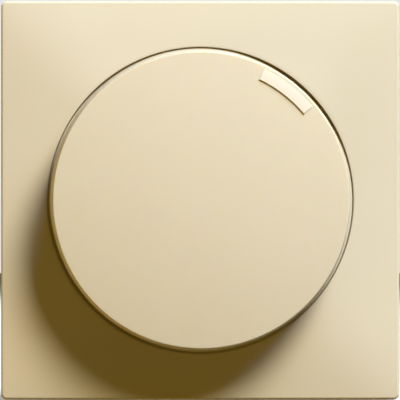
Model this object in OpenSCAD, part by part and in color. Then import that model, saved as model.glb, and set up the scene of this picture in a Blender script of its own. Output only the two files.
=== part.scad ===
// Flush rotary dimmer with a square cover plate and a large push-and-turn knob.
// Each piece is modelled with z pointing out of the wall, then turned so that the front faces -Y and up is +Z.
// The origin is the centre of the support ring's back face, which lies on the wall.

/* [Cover plate] */
// Width and height of the square cover plate
plate_w = 70.4; // [62:0.2:90]
// Wall thickness of the cover plate
plate_t = 1.8; // [1.4:0.1:2.2]
// Corner radius of the plate, seen from the front
plate_corner_r = 1; // [0.5:0.1:4]
// Radius along the plate's front edges
plate_edge_r = 0.5; // [0.2:0.1:1]
// How far the plate's face falls away from the seat to the plate's edges
plate_fall = 1; // [0.2:0.1:1.5]
// Depth of the round seat that the knob turns in
seat_depth = 3.5; // [2.8:0.1:4.4]
// Gap between the knob's side and the seat's wall
seat_gap = 0.45; // [0.35:0.05:0.8]
// Radius of the seat's rounded rim
seat_rim_r = 0.55; // [0.3:0.05:0.8]

/* [Knob] */
// Diameter of the knob's face
knob_d = 52.4; // [44:0.2:54]
// Height of the middle of the knob's face above the plate's face
knob_h = 12; // [9:0.1:16]
// How far the knob's domed face rises from its edge to its middle
knob_dome = 1.55; // [0.4:0.1:2.4]
// Wall thickness of the knob
knob_t = 1.8; // [1.4:0.1:2.2]
// How much wider the knob's radius is at its foot than at its face
knob_draft = 0.35; // [0.1:0.05:0.8]
// Radius of the knob's front edge
knob_edge_r = 0.6; // [0.3:0.05:1]
// How far the knob pushes in to switch the load
push_travel = 1.4; // [1:0.1:1.8]
// Direction of the marker at rest, turned from the right towards the top
marker_deg = 52.85; // [0:0.05:180]
// Angle that the marker covers on the knob's face
marker_span_deg = 24.9; // [10:0.1:40]
// Width of the marker from its inner step to the knob's edge radius
marker_w = 2.4; // [1.5:0.1:4]
// Height of the marker's inner step
marker_rise = 0.45; // [0.2:0.05:0.8]

/* [Support ring] */
// Thickness of the steel support ring
ring_t = 1.2; // [1:0.1:1.5]
// Radius of the four holes for the wall box's screws
box_hole_r = 2.1; // [1.8:0.1:2.4]

/* [Housing] */
// Diameter of the housing behind the wall
cup_d = 50; // [46:0.5:56]
// Width of the housing between the two claws
cup_w = 33; // [31:0.5:36]
// Depth of the housing behind the wall
cup_depth = 22; // [18:0.1:30]
// Wall thickness of the housing
cup_t = 1.5; // [1.2:0.1:1.8]
// Radius of the wire entries in the terminal clamps
wire_r = 1.6; // [1.3:0.05:1.8]

/* [Potentiometer] */
// Diameter of the turning shaft
shaft_d = 6; // [4:0.1:7]
// Diameter of the potentiometer's case
pot_d = 17; // [16:0.1:17.4]

/* [Claws] */
// Angle that each claw swings out by
claw_swing = 25; // [15:1:28]
// Length of each claw's leg behind the wall
claw_leg = 15.2; // [12:0.1:18]

/* [Hidden] */

$fn = 64;
eps = 0.01;
over = 1;
run_gap = 0.05;
turned_fn = 180;
rim_fn = 32;
dome_fn = 1440;

// colours
cream = [0.92, 0.86, 0.74];
steel = [0.72, 0.73, 0.75];
brass = [0.8, 0.66, 0.36];
copper = [0.72, 0.42, 0.24];
grey_plastic = [0.35, 0.36, 0.38];
pale_grey = [0.8, 0.8, 0.78];
black_plastic = [0.1, 0.1, 0.11];
board_brown = [0.62, 0.45, 0.24];
ferrite = [0.75, 0.75, 0.3];
blue = [0.2, 0.35, 0.7];
glass_tint = [0.8, 0.9, 0.9, 0.4];
white = [0.95, 0.95, 0.93];

// heights, outwards from the wall
lid_t = 1.4;
lid_h = 2.5;
lid_top = ring_t + lid_h;
lid_under = lid_top - lid_t;
seat_z = lid_top + plate_t;
front_z = seat_z + seat_depth;
knob_top = front_z + knob_h;
rim_gap = 0.4;
rim_z0 = ring_t + rim_gap;

// fixing nut, washer and bushing
bush_r = 4.7;
bush_fit = 0.1;
washer_t = 0.5;
washer_r = 8;
nut_h = 2;
nut_af = 14;
washer_top = seat_z + washer_t;
nut_top = washer_top + nut_h;
bush_top = nut_top + 0.4;

// knob
knob_r = knob_d / 2;
knob_foot_r = knob_r + knob_draft;
foot_gap = 0.5;
knob_z0 = seat_z + push_travel + foot_gap;
seat_r = knob_foot_r + seat_gap;
hub_r = shaft_d / 2 + 2;
hub_z0 = bush_top + push_travel + 0.6;
hub_slot_w = 0.8;
hub_slot_h = 4;
rib_n = 8;
rib_t = 1;
rib_h = 4;
rib_end = 0.2;
knob_clip_t = 0.5;
knob_clip_h = 2.6;
knob_clip_deg = 320;
clip_top = hub_z0 + hub_slot_w + knob_clip_h;
marker_foot = 1;
dome_r = (knob_r * knob_r + knob_dome * knob_dome) / (2 * knob_dome);
dome_z = knob_top - dome_r;
edge_c_z = dome_z + sqrt(pow(dome_r - knob_edge_r, 2) - pow(knob_r - knob_edge_r, 2));
knob_edge_x = (knob_r - knob_edge_r) * dome_r / (dome_r - knob_edge_r);
skin_r = dome_r - knob_t;
skin_edge_z = dome_z + sqrt(pow(skin_r, 2) - pow(knob_r - knob_t, 2));
marker_out_r = knob_r - knob_edge_r;
marker_in_r = marker_out_r - marker_w;
marker_out_z = dome_z + sqrt(pow(dome_r, 2) - pow(marker_out_r, 2));
marker_in_z = dome_z + sqrt(pow(dome_r, 2) - pow(marker_in_r, 2));
marker_z0 = marker_out_z - marker_foot;
knob_rib_z0 = max(skin_edge_z - rib_h, clip_top + 0.3);

// shaft
shaft_r = shaft_d / 2;
flat_cut = 0.8;
flat_x = shaft_r - flat_cut;
press_gap = 0.02;
shaft_top = knob_top - knob_t - 0.4;
upper_flat_z = bush_top + push_travel + 0.3;
groove_r = shaft_r - 0.4;
shaft_clip_t = 0.6;
shaft_clip_r = shaft_r + 1.8;

// potentiometer
pot_r = pot_d / 2;
pot_h = 7.3;
pot_t = 0.8;
pot_top = lid_under;
pot_z0 = pot_top - pot_h;
spigot_r = shaft_r + 0.65;
track_board_t = 0.8;
track_t = 0.2;
track_z1 = pot_z0 + pot_t + track_board_t + track_t;
track_in_r = shaft_r + 1.4;
track_out_r = track_in_r + 1.6;
track_deg = 310;
carrier_r = pot_r - pot_t - 1.3;
carrier_z1 = pot_top - pot_t - 0.6;
carrier_h = 2.6;
carrier_z0 = carrier_z1 - carrier_h;
carrier_fit = 0.03;
carrier_hub_r = shaft_r + 0.9;
stop_tab_deg = 14;
stop_lug_deg = 20;
stop_r = pot_r - pot_t - 0.4;
stop_lug_r = carrier_r + 0.4;
stop_lug_at = 270;
wiper_t = 0.3;
lower_flat_z = carrier_z1 + push_travel + 0.1;

// push switch
switch_h = 8;
switch_z0 = pot_z0 - switch_h;
switch_t = 0.8;
shaft_z0 = pot_z0 - 2;
plunger_z1 = shaft_z0 - run_gap;
plunger_t = 1.2;
plunger_r = 5.4;
plunger_z0 = plunger_z1 - plunger_t;
stem_r = 1.5;
stem_out = 0.4;
bridge_t = 0.4;
bridge_z0 = plunger_z0 - bridge_t;
bridge_l = 13;
bridge_w = 4.4;
contact_x = 5.6;
contact_r = 0.8;
contact_t = 0.6;
contact_z0 = bridge_z0 - contact_t;
fixed_z1 = contact_z0 - push_travel - run_gap;
fixed_strip_z1 = fixed_z1 - 0.4;
fixed_strip_t = 0.4;
fixed_in_x = 4.7;
fixed_out_x = pot_r + 0.8;
strip_gap = 0.05;
spring_r = 2.5;
spring_wire_r = 0.25;
spring_turns = 3.5;
spring_z0 = switch_z0 + switch_t;
spring_z1 = bridge_z0;
spring_points = 5;
spring_steps = 10;

// circuit board and the parts on it
pcb_t = 1.6;
pcb_z1 = switch_z0;
pcb_z0 = pcb_z1 - pcb_t;
pcb_edge = 0.3;
pcb_low_y = -12.9;
pcb_stem_r = 2.2;

// housing
in_d = cup_d - 2 * cup_t;
in_w = cup_w - 2 * cup_t;
in_hw = in_w / 2;
cup_floor_z = -cup_depth + cup_t;
emboss = 0.3;
post_r = 2.2;
post_ring_r = cup_d / 2 - 3.1;
post_top_x = in_hw - 3.1;
post_low_x = in_hw - 2.3;
post_top_y = sqrt(post_ring_r * post_ring_r - post_top_x * post_top_x);
post_low_y = -sqrt(post_ring_r * post_ring_r - post_low_x * post_low_x);
post_spots = [
  [post_top_x, post_top_y], [-post_top_x, post_top_y],
  [post_low_x, post_low_y], [-post_low_x, post_low_y]
];
post_depth = 8;
house_screw_r = 1.1;
house_head_r = 1.9;
house_head_h = 1;
house_screw_z0 = -6;
lid_wall = 1.2;
vent_n = 4;
vent_w = 1.2;
vent_l = 12;
vent_pitch = 3;
vent_y = 6;

// terminals
term_pitch = in_w * 0.243;
term_w = term_pitch - 1.5;
term_y = -16.5;
term_h = 6.4;
term_z0 = cup_floor_z + 0.1;
term_z1 = pcb_z1 + 1.2;
term_mid_z = (term_z0 + term_z1) / 2;
term_at = [-term_pitch, 0, term_pitch];
entry_r = wire_r + 0.3;
term_rib_t = 0.9;
term_rib_y0 = -22.6;
term_rib_y1 = -13.1;
term_tab_w = 1.6;
term_tab_t = 0.6;
term_tab_y = pcb_low_y + 1.4;
tscrew_r = 1.4;
tscrew_head_r = 1.9;
tscrew_head_h = 1.4;
tscrew_tip_y = term_y - wire_r - 0.05;
tscrew_neck_y = -21;
tscrew_access_r = 2.3;
driver_slot_w = 0.6;
driver_slot_h = 0.6;

// trimmer
trim_w = 6.2;
trim_h = 5;
trim_x = in_hw - 3.9;
trim_y = -8;
trim_disc_r = 2.3;
trim_disc_h = 0.8;
trim_stem_r = 1.25;
trim_hole_r = 1.7;
trim_top = lid_top - 0.3;

// fuse
fuse_r = 2.6;
fuse_glass_r = 2.35;
fuse_l = 20;
fuse_cap_l = 5;
fuse_x = -(in_hw - 3.1);
fuse_z = pcb_z1 + 5;
fuse_clip_y = 7.4;
fuse_clip_l = 3.6;
fuse_clip_w = 5.8;
fuse_clip_t = 0.25;

// triac under the ring, choke below it
triac_y = 16;
triac_w = 10;
triac_x0 = -7.8;
triac_body_l = 9.2;
triac_l = 15.6;
triac_tab_t = 1.3;
triac_h = 4.4;
triac_z1 = emboss - 0.25;
triac_hole_x = 4.8;
triac_hole_r = 1.8;
triac_leg_pitch = 2.54;
triac_leg_w = 0.8;
triac_leg_t = 0.5;
triac_leg_x = triac_x0 - 1.2;
pad_over = 0.4;
tri_screw_r = 1.5;
tri_head_r = 2.6;
tri_head_h = 1;
tri_nut_af = 5.5;
tri_nut_h = 2.2;
choke_y = 15.8;
choke_r = 6.2;
choke_in_r = 3.2;
choke_h = 5;
choke_z0 = pcb_z1 + 0.9;
winding_n = 18;
winding_t = 0.6;
winding_w = 0.8;

// capacitors, resistors, diode
cap_a_x = 9.8;
cap_a_w = in_hw - 0.4 - cap_a_x;
cap_a_y = -3;
cap_a_l = 12.5;
cap_a_h = 8;
cap_b_x = -6.2;
cap_b_w = 5;
cap_b_y = -12.5;
cap_b_l = 3.4;
cap_b_h = 6;
lead_r = 0.3;
lead_over = 0.9;
axial_z = pcb_z1 + 1.4;
res_r = 1.1;
res_l = 4;
res_a = [4.6, -10.5];
res_b = [11.4, 12.8];
diode_r = 0.8;
diode_l = 3.2;
diode_at = [-11.6, 12.3];

// claws
pin_x = cup_w / 2 + 2.3;
pin_z = -2.4;
pin_r = 1;
knuckle_r = 1.8;
claw_w = 9;
claw_t = 1;
arm_l = 8.2;
bend_x = arm_l * cos(claw_swing);
bend_z = -arm_l * sin(claw_swing);
lug_gap = 0.2;
lug_t = 1;
lug_w = 3.2;
claw_screw_dx = 4.3;
claw_screw_x = pin_x + claw_screw_dx;
claw_screw_r = 1.5;
claw_screw_end = -11.4;
claw_head_r = 2.6;
claw_head_h = 1.6;
claw_slot_l = 4.5;
claw_slot_w = 3.5;
barrel_r = 2.2;
barrel_l = 6.4;
barrel_fit = 0.03;
barrel_d = barrel_r + claw_t / 2 + run_gap;
barrel_z = pin_z - (barrel_d + claw_screw_dx * sin(claw_swing)) / cos(claw_swing);
tooth_out = 0.9;
tooth_h = 2.4;
tooth_w = 1.6;
tooth_pitch = 3.4;

// support ring
box_pitch = cup_d + 10;
ring_w = max(plate_w - 2.4, box_pitch + 6);
ring_chamfer = 12;
ring_centre_r = pot_r + 0.5;
well_r = cup_d / 2 + 0.4;
well_x = claw_screw_x + 4.4;
well_y = claw_w / 2 + lug_gap + lug_t + 0.5;

// ---- helpers ----

// stands a piece modelled with z outwards into the part's frame
module stand() {
  rotate([90, 0, 0]) children();
}

// a disc with one flat side, facing +x
module d_disc(r, flat) {
  intersection() {
    circle(r = r, $fn = turned_fn);
    translate([-2 * r, -2 * r]) square([2 * r + flat, 4 * r]);
  }
}

// a rectangle with round corners
module round_rect(w, h, r) {
  square([w, h - 2 * r], center = true);
  square([w - 2 * r, h], center = true);
  for (sx = [-1, 1], sy = [-1, 1]) {
    translate([sx * (w / 2 - r), sy * (h / 2 - r)]) circle(r = r);
  }
}

// a tube between two heights
module tube(r_out, r_in, z0, z1) {
  translate([0, 0, z0]) linear_extrude(z1 - z0) difference() {
    circle(r = r_out, $fn = turned_fn);
    circle(r = r_in, $fn = turned_fn);
  }
}

// a round bar between two heights
module bar(r, z0, z1) {
  translate([0, 0, z0]) cylinder(r = r, h = z1 - z0, $fn = turned_fn);
}

// a box between two heights, centred on x and y
module slab(w, l, z0, z1) {
  translate([-w / 2, -l / 2, z0]) cube([w, l, z1 - z0]);
}

// part of a tube covering an angle, centred on +x
module sector(r_out, r_in, z0, z1, deg) {
  rotate([0, 0, -deg / 2]) rotate_extrude(angle = deg, $fn = turned_fn)
    translate([r_in, z0]) square([r_out - r_in, z1 - z0]);
}

// outline of the housing: a disc with two flat sides
module housing_outline(d, w) {
  intersection() {
    circle(d = d, $fn = turned_fn);
    square([w, d + over], center = true);
  }
}

// a hexagon by its width across flats
module hexagon(af) {
  circle(r = af / 2 / cos(30), $fn = 6);
}

// an axial part lying on y, its leads bent down to the board
module axial(r, l) {
  lead_y = l / 2 + lead_over;
  drop = axial_z - pcb_z1;
  rotate([90, 0, 0]) cylinder(r = r, h = l, center = true);
  rotate([90, 0, 0]) cylinder(r = lead_r, h = 2 * lead_y, center = true);
  for (s = [-1, 1]) {
    translate([0, s * lead_y, -drop]) cylinder(r = lead_r, h = drop + lead_r);
  }
}

// ---- front ----

// cross section of the plate: flat over the seat, falling to rounded edges
module plate_section() {
  half = plate_w / 2;
  fall_w = half - seat_r - seat_rim_r;
  tilt = atan(plate_fall / fall_w);
  edge_x = half - plate_edge_r;
  edge_z = front_z - (edge_x + plate_edge_r * sin(tilt) - half + fall_w) * tan(tilt) - plate_edge_r * cos(tilt);
  for (s = [-1, 1]) {
    scale([s, 1]) translate([edge_x, edge_z]) intersection() {
      circle(r = plate_edge_r);
      translate([-over / 2, 0]) square(over * 2);
    }
  }
  polygon([
    [-half, rim_z0],
    [half, rim_z0],
    [half, edge_z],
    [edge_x, edge_z],
    [edge_x + plate_edge_r * sin(tilt), edge_z + plate_edge_r * cos(tilt)],
    [half - fall_w, front_z],
    [fall_w - half, front_z],
    [-edge_x - plate_edge_r * sin(tilt), edge_z + plate_edge_r * cos(tilt)],
    [-edge_x, edge_z],
    [-half, edge_z]
  ]);
}

module plate_block() {
  intersection() {
    translate([0, 0, rim_z0]) linear_extrude(front_z - rim_z0)
      round_rect(plate_w, plate_w, plate_corner_r);
    rotate([90, 0, 0]) linear_extrude(plate_w + over, center = true)
      plate_section();
    rotate([90, 0, 90]) linear_extrude(plate_w + over, center = true)
      plate_section();
  }
}

// the seat's hollow, with a rim that flares out into the plate's face
module seat_hollow() {
  rotate_extrude($fn = turned_fn) difference() {
    union() {
      translate([0, seat_z]) square([seat_r, seat_depth + over]);
      translate([0, front_z - seat_rim_r]) square([seat_r + seat_rim_r, seat_rim_r + over]);
    }
    translate([seat_r + seat_rim_r, front_z - seat_rim_r]) circle(r = seat_rim_r, $fn = rim_fn);
  }
}

module plate_ribs() {
  rib_from = seat_r + plate_t / 2;
  rib_to = (plate_w / 2 - plate_t) * sqrt(2) + plate_t / 2;
  rib_z1 = front_z - plate_fall - plate_t / 2;
  for (a = [45:90:315]) {
    rotate([0, 0, a]) translate([rib_from, -rib_t / 2, rib_z1 - rib_h])
      cube([rib_to - rib_from, rib_t, rib_h]);
  }
}

module cover_plate() {
  color(cream) stand() difference() {
    union() {
      difference() {
        plate_block();
        slab(plate_w - 2 * plate_t, plate_w - 2 * plate_t, rim_z0 - over,
          front_z - plate_fall - plate_t);
      }
      bar(seat_r + plate_t, seat_z - plate_t, front_z - plate_t / 2);
      plate_ribs();
    }
    seat_hollow();
    bar(bush_r + bush_fit, seat_z - plate_t - over, seat_z + over);
  }
}

// half section of a domed disc whose face is part of a ball
module domed_half(r, z0, ball_r) {
  intersection() {
    translate([0, z0]) square([r, knob_top - z0]);
    translate([0, dome_z]) circle(r = ball_r, $fn = dome_fn);
  }
}

// half section of the knob's shell
module knob_profile() {
  difference() {
    union() {
      polygon([
        [0, knob_z0],
        [knob_foot_r, knob_z0],
        [knob_r, edge_c_z],
        [0, edge_c_z]
      ]);
      domed_half(knob_edge_x, edge_c_z - knob_edge_r / 2, dome_r);
      translate([knob_r - knob_edge_r, edge_c_z]) circle(r = knob_edge_r);
    }
    polygon([
      [0, knob_z0 - over],
      [knob_foot_r - knob_t, knob_z0 - over],
      [knob_r - knob_t, skin_edge_z],
      [0, skin_edge_z]
    ]);
    domed_half(knob_r - knob_t, skin_edge_z - over / 2, skin_r);
  }
}

module knob() {
  color(cream) stand() rotate([0, 0, marker_deg]) difference() {
    union() {
      rotate_extrude($fn = turned_fn) knob_profile();
      bar(hub_r, hub_z0, knob_top - knob_t / 2);
      intersection() {
        rotate_extrude($fn = turned_fn) domed_half(knob_r - knob_t / 2, hub_z0, dome_r - knob_t / 2);
        for (i = [0:rib_n - 1]) {
          rotate([0, 0, i * 360 / rib_n]) translate([hub_r - rib_end, -rib_t / 2, knob_rib_z0])
            cube([knob_r - knob_t - hub_r + 2 * rib_end, rib_t, knob_top - knob_rib_z0]);
        }
      }
    }
    translate([0, 0, hub_z0 - over]) linear_extrude(knob_top - knob_t - hub_z0 + over)
      d_disc(shaft_r + press_gap, flat_x + press_gap);
    for (a = [0, 90]) {
      rotate([0, 0, a]) slab(2 * hub_r + over, hub_slot_w, hub_z0 - over, hub_z0 + hub_slot_h);
    }
    sector(marker_out_r, marker_in_r, marker_z0, knob_top + over, marker_span_deg);
  }
}

module position_marker() {
  color(cream) stand() rotate([0, 0, marker_deg - marker_span_deg / 2])
    rotate_extrude(angle = marker_span_deg, $fn = turned_fn) polygon([
      [marker_in_r, marker_z0],
      [marker_out_r, marker_z0],
      [marker_out_r, marker_out_z],
      [marker_in_r, marker_in_z + marker_rise]
    ]);
}

module knob_clip() {
  clip_z0 = hub_z0 + hub_slot_w;
  color(steel) stand() rotate([0, 0, marker_deg])
    sector(hub_r + press_gap + knob_clip_t, hub_r + press_gap, clip_z0, clip_z0 + knob_clip_h,
      knob_clip_deg);
}

module fixing_nut() {
  color(brass) stand() difference() {
    translate([0, 0, washer_top]) linear_extrude(nut_h) hexagon(nut_af);
    bar(bush_r + press_gap, washer_top - over, nut_top + over);
  }
}

module lock_washer() {
  color(steel) stand() tube(washer_r, bush_r + bush_fit, seat_z, washer_top);
}

module bushing() {
  color(brass) stand() difference() {
    union() {
      bar(bush_r, pot_top, bush_top);
      bar(spigot_r, pot_top - pot_t, pot_top + eps);
    }
    bar(shaft_r + run_gap, pot_top - pot_t - over, bush_top + over);
  }
}

// ---- turning shaft and potentiometer ----

module shaft() {
  cut_w = 2 * shaft_r;
  color(steel) stand() rotate([0, 0, marker_deg]) difference() {
    bar(shaft_r, shaft_z0, shaft_top);
    translate([flat_x, -cut_w, shaft_z0 - over])
      cube([cut_w, 2 * cut_w, lower_flat_z - shaft_z0 + over]);
    translate([flat_x, -cut_w, upper_flat_z])
      cube([cut_w, 2 * cut_w, shaft_top - upper_flat_z + over]);
    tube(shaft_r + over, groove_r, pot_z0 - shaft_clip_t - 4 * run_gap, pot_z0 - 2 * run_gap);
  }
}

module shaft_clip() {
  color(steel) stand() rotate([0, 0, marker_deg + 180])
    sector(shaft_clip_r, groove_r + press_gap, pot_z0 - shaft_clip_t - 3 * run_gap,
      pot_z0 - 3 * run_gap, 300);
}

module pot_case() {
  cavity_r = pot_r - pot_t;
  color(pale_grey) stand() union() {
    difference() {
      bar(pot_r, pot_z0, pot_top);
      bar(cavity_r, pot_z0 + pot_t, pot_top - pot_t);
      bar(spigot_r, pot_top - pot_t - over, pot_top + over);
      bar(shaft_r + 2 * bush_fit, pot_z0 - over, pot_z0 + pot_t + over);
    }
    rotate([0, 0, stop_lug_at])
      sector(cavity_r + pot_t / 2, stop_lug_r, carrier_z0, carrier_z1, 2 * stop_lug_deg);
  }
}

module track_board() {
  color(board_brown) stand()
    tube(pot_r - pot_t - run_gap, shaft_r + 2 * bush_fit, pot_z0 + pot_t, track_z1 - track_t);
}

module carbon_track() {
  color(black_plastic) stand() rotate([0, 0, stop_lug_at + 180])
    sector(track_out_r, track_in_r, track_z1 - track_t, track_z1, track_deg);
}

module wiper_carrier() {
  color(white) stand() rotate([0, 0, marker_deg]) difference() {
    union() {
      bar(carrier_r, carrier_z0, carrier_z1);
      sector(stop_r, carrier_r - stop_lug_deg / 100, carrier_z0, carrier_z1, 2 * stop_tab_deg);
    }
    translate([0, 0, carrier_z0 - over]) linear_extrude(carrier_h + 2 * over)
      d_disc(shaft_r + carrier_fit, flat_x + carrier_fit);
  }
}

module wiper_spring() {
  wiper_mid_r = (track_in_r + track_out_r) / 2;
  color(brass) stand() rotate([0, 0, marker_deg]) union() {
    tube(track_out_r, carrier_hub_r, carrier_z0 - wiper_t, carrier_z0);
    for (s = [-1, 1]) {
      translate([wiper_mid_r, s * contact_r, 0])
        slab(contact_r, contact_r, track_z1 + run_gap, carrier_z0 - wiper_t / 2);
    }
  }
}

// ---- push switch ----

module switch_case() {
  color(grey_plastic) stand() difference() {
    bar(pot_r, switch_z0, pot_z0);
    bar(pot_r - switch_t, switch_z0 + switch_t, pot_z0 + over);
    bar(stem_r + run_gap, switch_z0 - over, switch_z0 + switch_t + over);
    slab(2 * pot_r + over, bridge_w + 2 * strip_gap,
      fixed_strip_z1 - fixed_strip_t - strip_gap, fixed_strip_z1 + strip_gap);
  }
}

module switch_plunger() {
  color(white) stand() union() {
    bar(plunger_r, plunger_z0, plunger_z1);
    bar(stem_r, switch_z0 + stem_out, plunger_z0 + eps);
  }
}

module contact_bridge() {
  color(copper) stand() difference() {
    union() {
      slab(bridge_l, bridge_w, bridge_z0, plunger_z0);
      for (s = [-1, 1]) {
        translate([s * contact_x, 0, 0]) bar(contact_r, contact_z0, bridge_z0 + eps);
      }
    }
    bar(stem_r, bridge_z0 - over, plunger_z0 + over);
  }
}

module fixed_contacts() {
  color(copper) stand() for (s = [0, 180]) {
    rotate([0, 0, s]) union() {
      translate([fixed_in_x, -bridge_w / 2, fixed_strip_z1 - fixed_strip_t])
        cube([fixed_out_x - fixed_in_x, bridge_w, fixed_strip_t]);
      translate([fixed_out_x - fixed_strip_t, -bridge_w / 2, pcb_z1])
        cube([fixed_strip_t, bridge_w, fixed_strip_z1 - pcb_z1]);
      translate([contact_x, 0, 0]) bar(contact_r, fixed_strip_z1 - eps, fixed_z1);
    }
  }
}

// level slice through a coil's wire: its half width falls to nothing half a wire above and below
module coil_slice() {
  pitch = (spring_z1 - spring_z0) / spring_turns;
  half_deg = 360 * spring_wire_r / pitch;
  function wire_w(a) = spring_wire_r * sqrt(max(0, 1 - pow(a / half_deg, 2)));
  angles = [for (i = [-spring_points:spring_points]) half_deg * i / spring_points];
  polygon(concat(
    [for (a = angles) (spring_r + wire_w(a)) * [cos(a), sin(a)]],
    [for (i = [1:2 * spring_points - 1]) let (a = angles[2 * spring_points - i])
      (spring_r - wire_w(a)) * [cos(a), sin(a)]]
  ));
}

module return_spring() {
  color(steel) stand() translate([0, 0, spring_z0])
    linear_extrude(spring_z1 - spring_z0, twist = -360 * spring_turns,
      slices = spring_steps * spring_turns) coil_slice();
}

// ---- support ring and housing ----

module ring_outline() {
  intersection() {
    square(ring_w, center = true);
    rotate(45) square(sqrt(2) * (ring_w - ring_chamfer), center = true);
  }
}

module support_ring() {
  lug_z1 = ring_t / 2 + emboss / 2;
  lug_z0 = pin_z - knuckle_r;
  color(steel) stand() union() {
    difference() {
      linear_extrude(ring_t) ring_outline();
      bar(well_r, -over, emboss);
      slab(2 * well_x, 2 * well_y, -over, emboss);
      bar(ring_centre_r, -over, ring_t + over);
      for (a = [0:90:270]) {
        rotate([0, 0, a]) translate([box_pitch / 2, 0, 0]) bar(box_hole_r, -over, ring_t + over);
      }
      for (s = [-1, 1]) {
        translate([s * claw_screw_x, 0, 0])
          bar(claw_screw_r + bush_fit, -over, ring_t + over);
      }
      for (p = post_spots) {
        translate(p) bar(house_screw_r + bush_fit, -over, ring_t + over);
      }
      translate([triac_hole_x, triac_y, 0]) bar(tri_screw_r + bush_fit, -over, ring_t + over);
      translate([trim_x, trim_y, 0]) bar(trim_hole_r, -over, ring_t + over);
    }
    for (sx = [-1, 1], sy = [-1, 1]) {
      translate([sx * pin_x, sy * (claw_w / 2 + lug_gap + lug_t / 2), 0]) difference() {
        slab(lug_w, lug_t, lug_z0, lug_z1);
        translate([0, 0, pin_z]) rotate([90, 0, 0])
          cylinder(r = pin_r, h = lug_t + over, center = true, $fn = turned_fn);
      }
    }
  }
}

module housing_front() {
  color(grey_plastic) stand() difference() {
    translate([0, 0, ring_t]) linear_extrude(lid_h) housing_outline(cup_d, cup_w);
    difference() {
      translate([0, 0, ring_t - over]) linear_extrude(lid_h - lid_t + over)
        housing_outline(cup_d - 2 * lid_wall, cup_w - 2 * lid_wall);
      for (p = post_spots) {
        translate(p) bar(post_r, ring_t - over, lid_top);
      }
    }
    bar(bush_r + bush_fit, ring_t - over, lid_top + over);
    translate([trim_x, trim_y, 0]) bar(trim_hole_r, ring_t - over, lid_top + over);
    for (p = post_spots) {
      translate(p) bar(house_screw_r + bush_fit, ring_t - over, lid_top + over);
      translate(p) bar(house_head_r + bush_fit, lid_top - house_head_h, lid_top + over);
    }
  }
}

module housing_cup() {
  post_z0 = emboss - post_depth;
  color(grey_plastic) stand() difference() {
    union() {
      difference() {
        translate([0, 0, -cup_depth]) linear_extrude(cup_depth + emboss)
          housing_outline(cup_d, cup_w);
        translate([0, 0, cup_floor_z]) linear_extrude(cup_depth + over)
          housing_outline(in_d, in_w);
      }
      intersection() {
        translate([0, 0, -cup_depth]) linear_extrude(cup_depth + emboss)
          housing_outline(cup_d, cup_w);
        for (p = post_spots) {
          translate(p) bar(post_r, post_z0, emboss);
        }
      }
      for (s = [-1, 1]) {
        translate([s * term_pitch / 2 - term_rib_t / 2, term_rib_y0, cup_floor_z - eps])
          cube([term_rib_t, term_rib_y1 - term_rib_y0, term_z1 - cup_floor_z]);
      }
    }
    for (p = post_spots) {
      translate(p) bar(house_screw_r + press_gap, house_screw_z0 - press_gap, emboss + over);
    }
    for (x = term_at) {
      translate([x, term_y, 0]) bar(entry_r, -cup_depth - over, cup_floor_z + over);
      translate([x, 0, term_mid_z]) rotate([90, 0, 0])
        cylinder(r = tscrew_access_r, h = cup_d / 2 + over, $fn = turned_fn);
    }
    for (i = [0:vent_n - 1]) {
      translate([0, vent_y + i * vent_pitch, 0])
        slab(vent_l, vent_w, -cup_depth - over, cup_floor_z + over);
    }
  }
}

module housing_screws() {
  color(steel) stand() for (p = post_spots) {
    translate(p) difference() {
      union() {
        bar(house_screw_r, house_screw_z0, lid_top - house_head_h + eps);
        bar(house_head_r, lid_top - house_head_h, lid_top - press_gap);
      }
      slab(2 * house_head_r + over, driver_slot_w, lid_top - driver_slot_h, lid_top + over);
    }
  }
}

// ---- circuit board and components ----

module circuit_board() {
  color(board_brown) stand() translate([0, 0, pcb_z0]) linear_extrude(pcb_t) difference() {
    intersection() {
      housing_outline(in_d - 2 * pcb_edge, in_w - 2 * pcb_edge);
      translate([-cup_w / 2, pcb_low_y]) square([cup_w, cup_d]);
    }
    circle(r = pcb_stem_r);
  }
}

module triac() {
  body_z0 = triac_z1 - triac_h;
  color(black_plastic) stand() difference() {
    union() {
      translate([triac_x0, triac_y - triac_w / 2, triac_z1 - triac_tab_t])
        cube([triac_l, triac_w, triac_tab_t]);
      translate([triac_x0, triac_y - triac_w / 2, body_z0]) cube([triac_body_l, triac_w, triac_h]);
      for (i = [-1:1]) {
        translate([triac_leg_x, triac_y + i * triac_leg_pitch - triac_leg_w / 2, body_z0 + 1])
          cube([triac_x0 - triac_leg_x + over, triac_leg_w, triac_leg_t]);
        translate([triac_leg_x, triac_y + i * triac_leg_pitch - triac_leg_w / 2, pcb_z1])
          cube([triac_leg_t, triac_leg_w, body_z0 + 1 + triac_leg_t - pcb_z1]);
      }
    }
    translate([triac_hole_x, triac_y, 0]) bar(triac_hole_r, body_z0, triac_z1 + over);
  }
}

module triac_pad() {
  color(pale_grey) stand() difference() {
    translate([triac_x0 - pad_over, triac_y - triac_w / 2 - pad_over, triac_z1])
      cube([triac_l + 2 * pad_over, triac_w + 2 * pad_over, emboss - triac_z1]);
    translate([triac_hole_x, triac_y, 0]) bar(triac_hole_r, triac_z1 - over, emboss + over);
  }
}

module triac_screw() {
  screw_z0 = triac_z1 - triac_tab_t - tri_nut_h;
  color(steel) stand() translate([triac_hole_x, triac_y, 0]) difference() {
    union() {
      bar(tri_screw_r, screw_z0, ring_t + eps);
      bar(tri_head_r, ring_t, ring_t + tri_head_h);
    }
    slab(2 * tri_head_r + over, driver_slot_w, ring_t + tri_head_h - driver_slot_h,
      ring_t + tri_head_h + over);
  }
}

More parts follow.
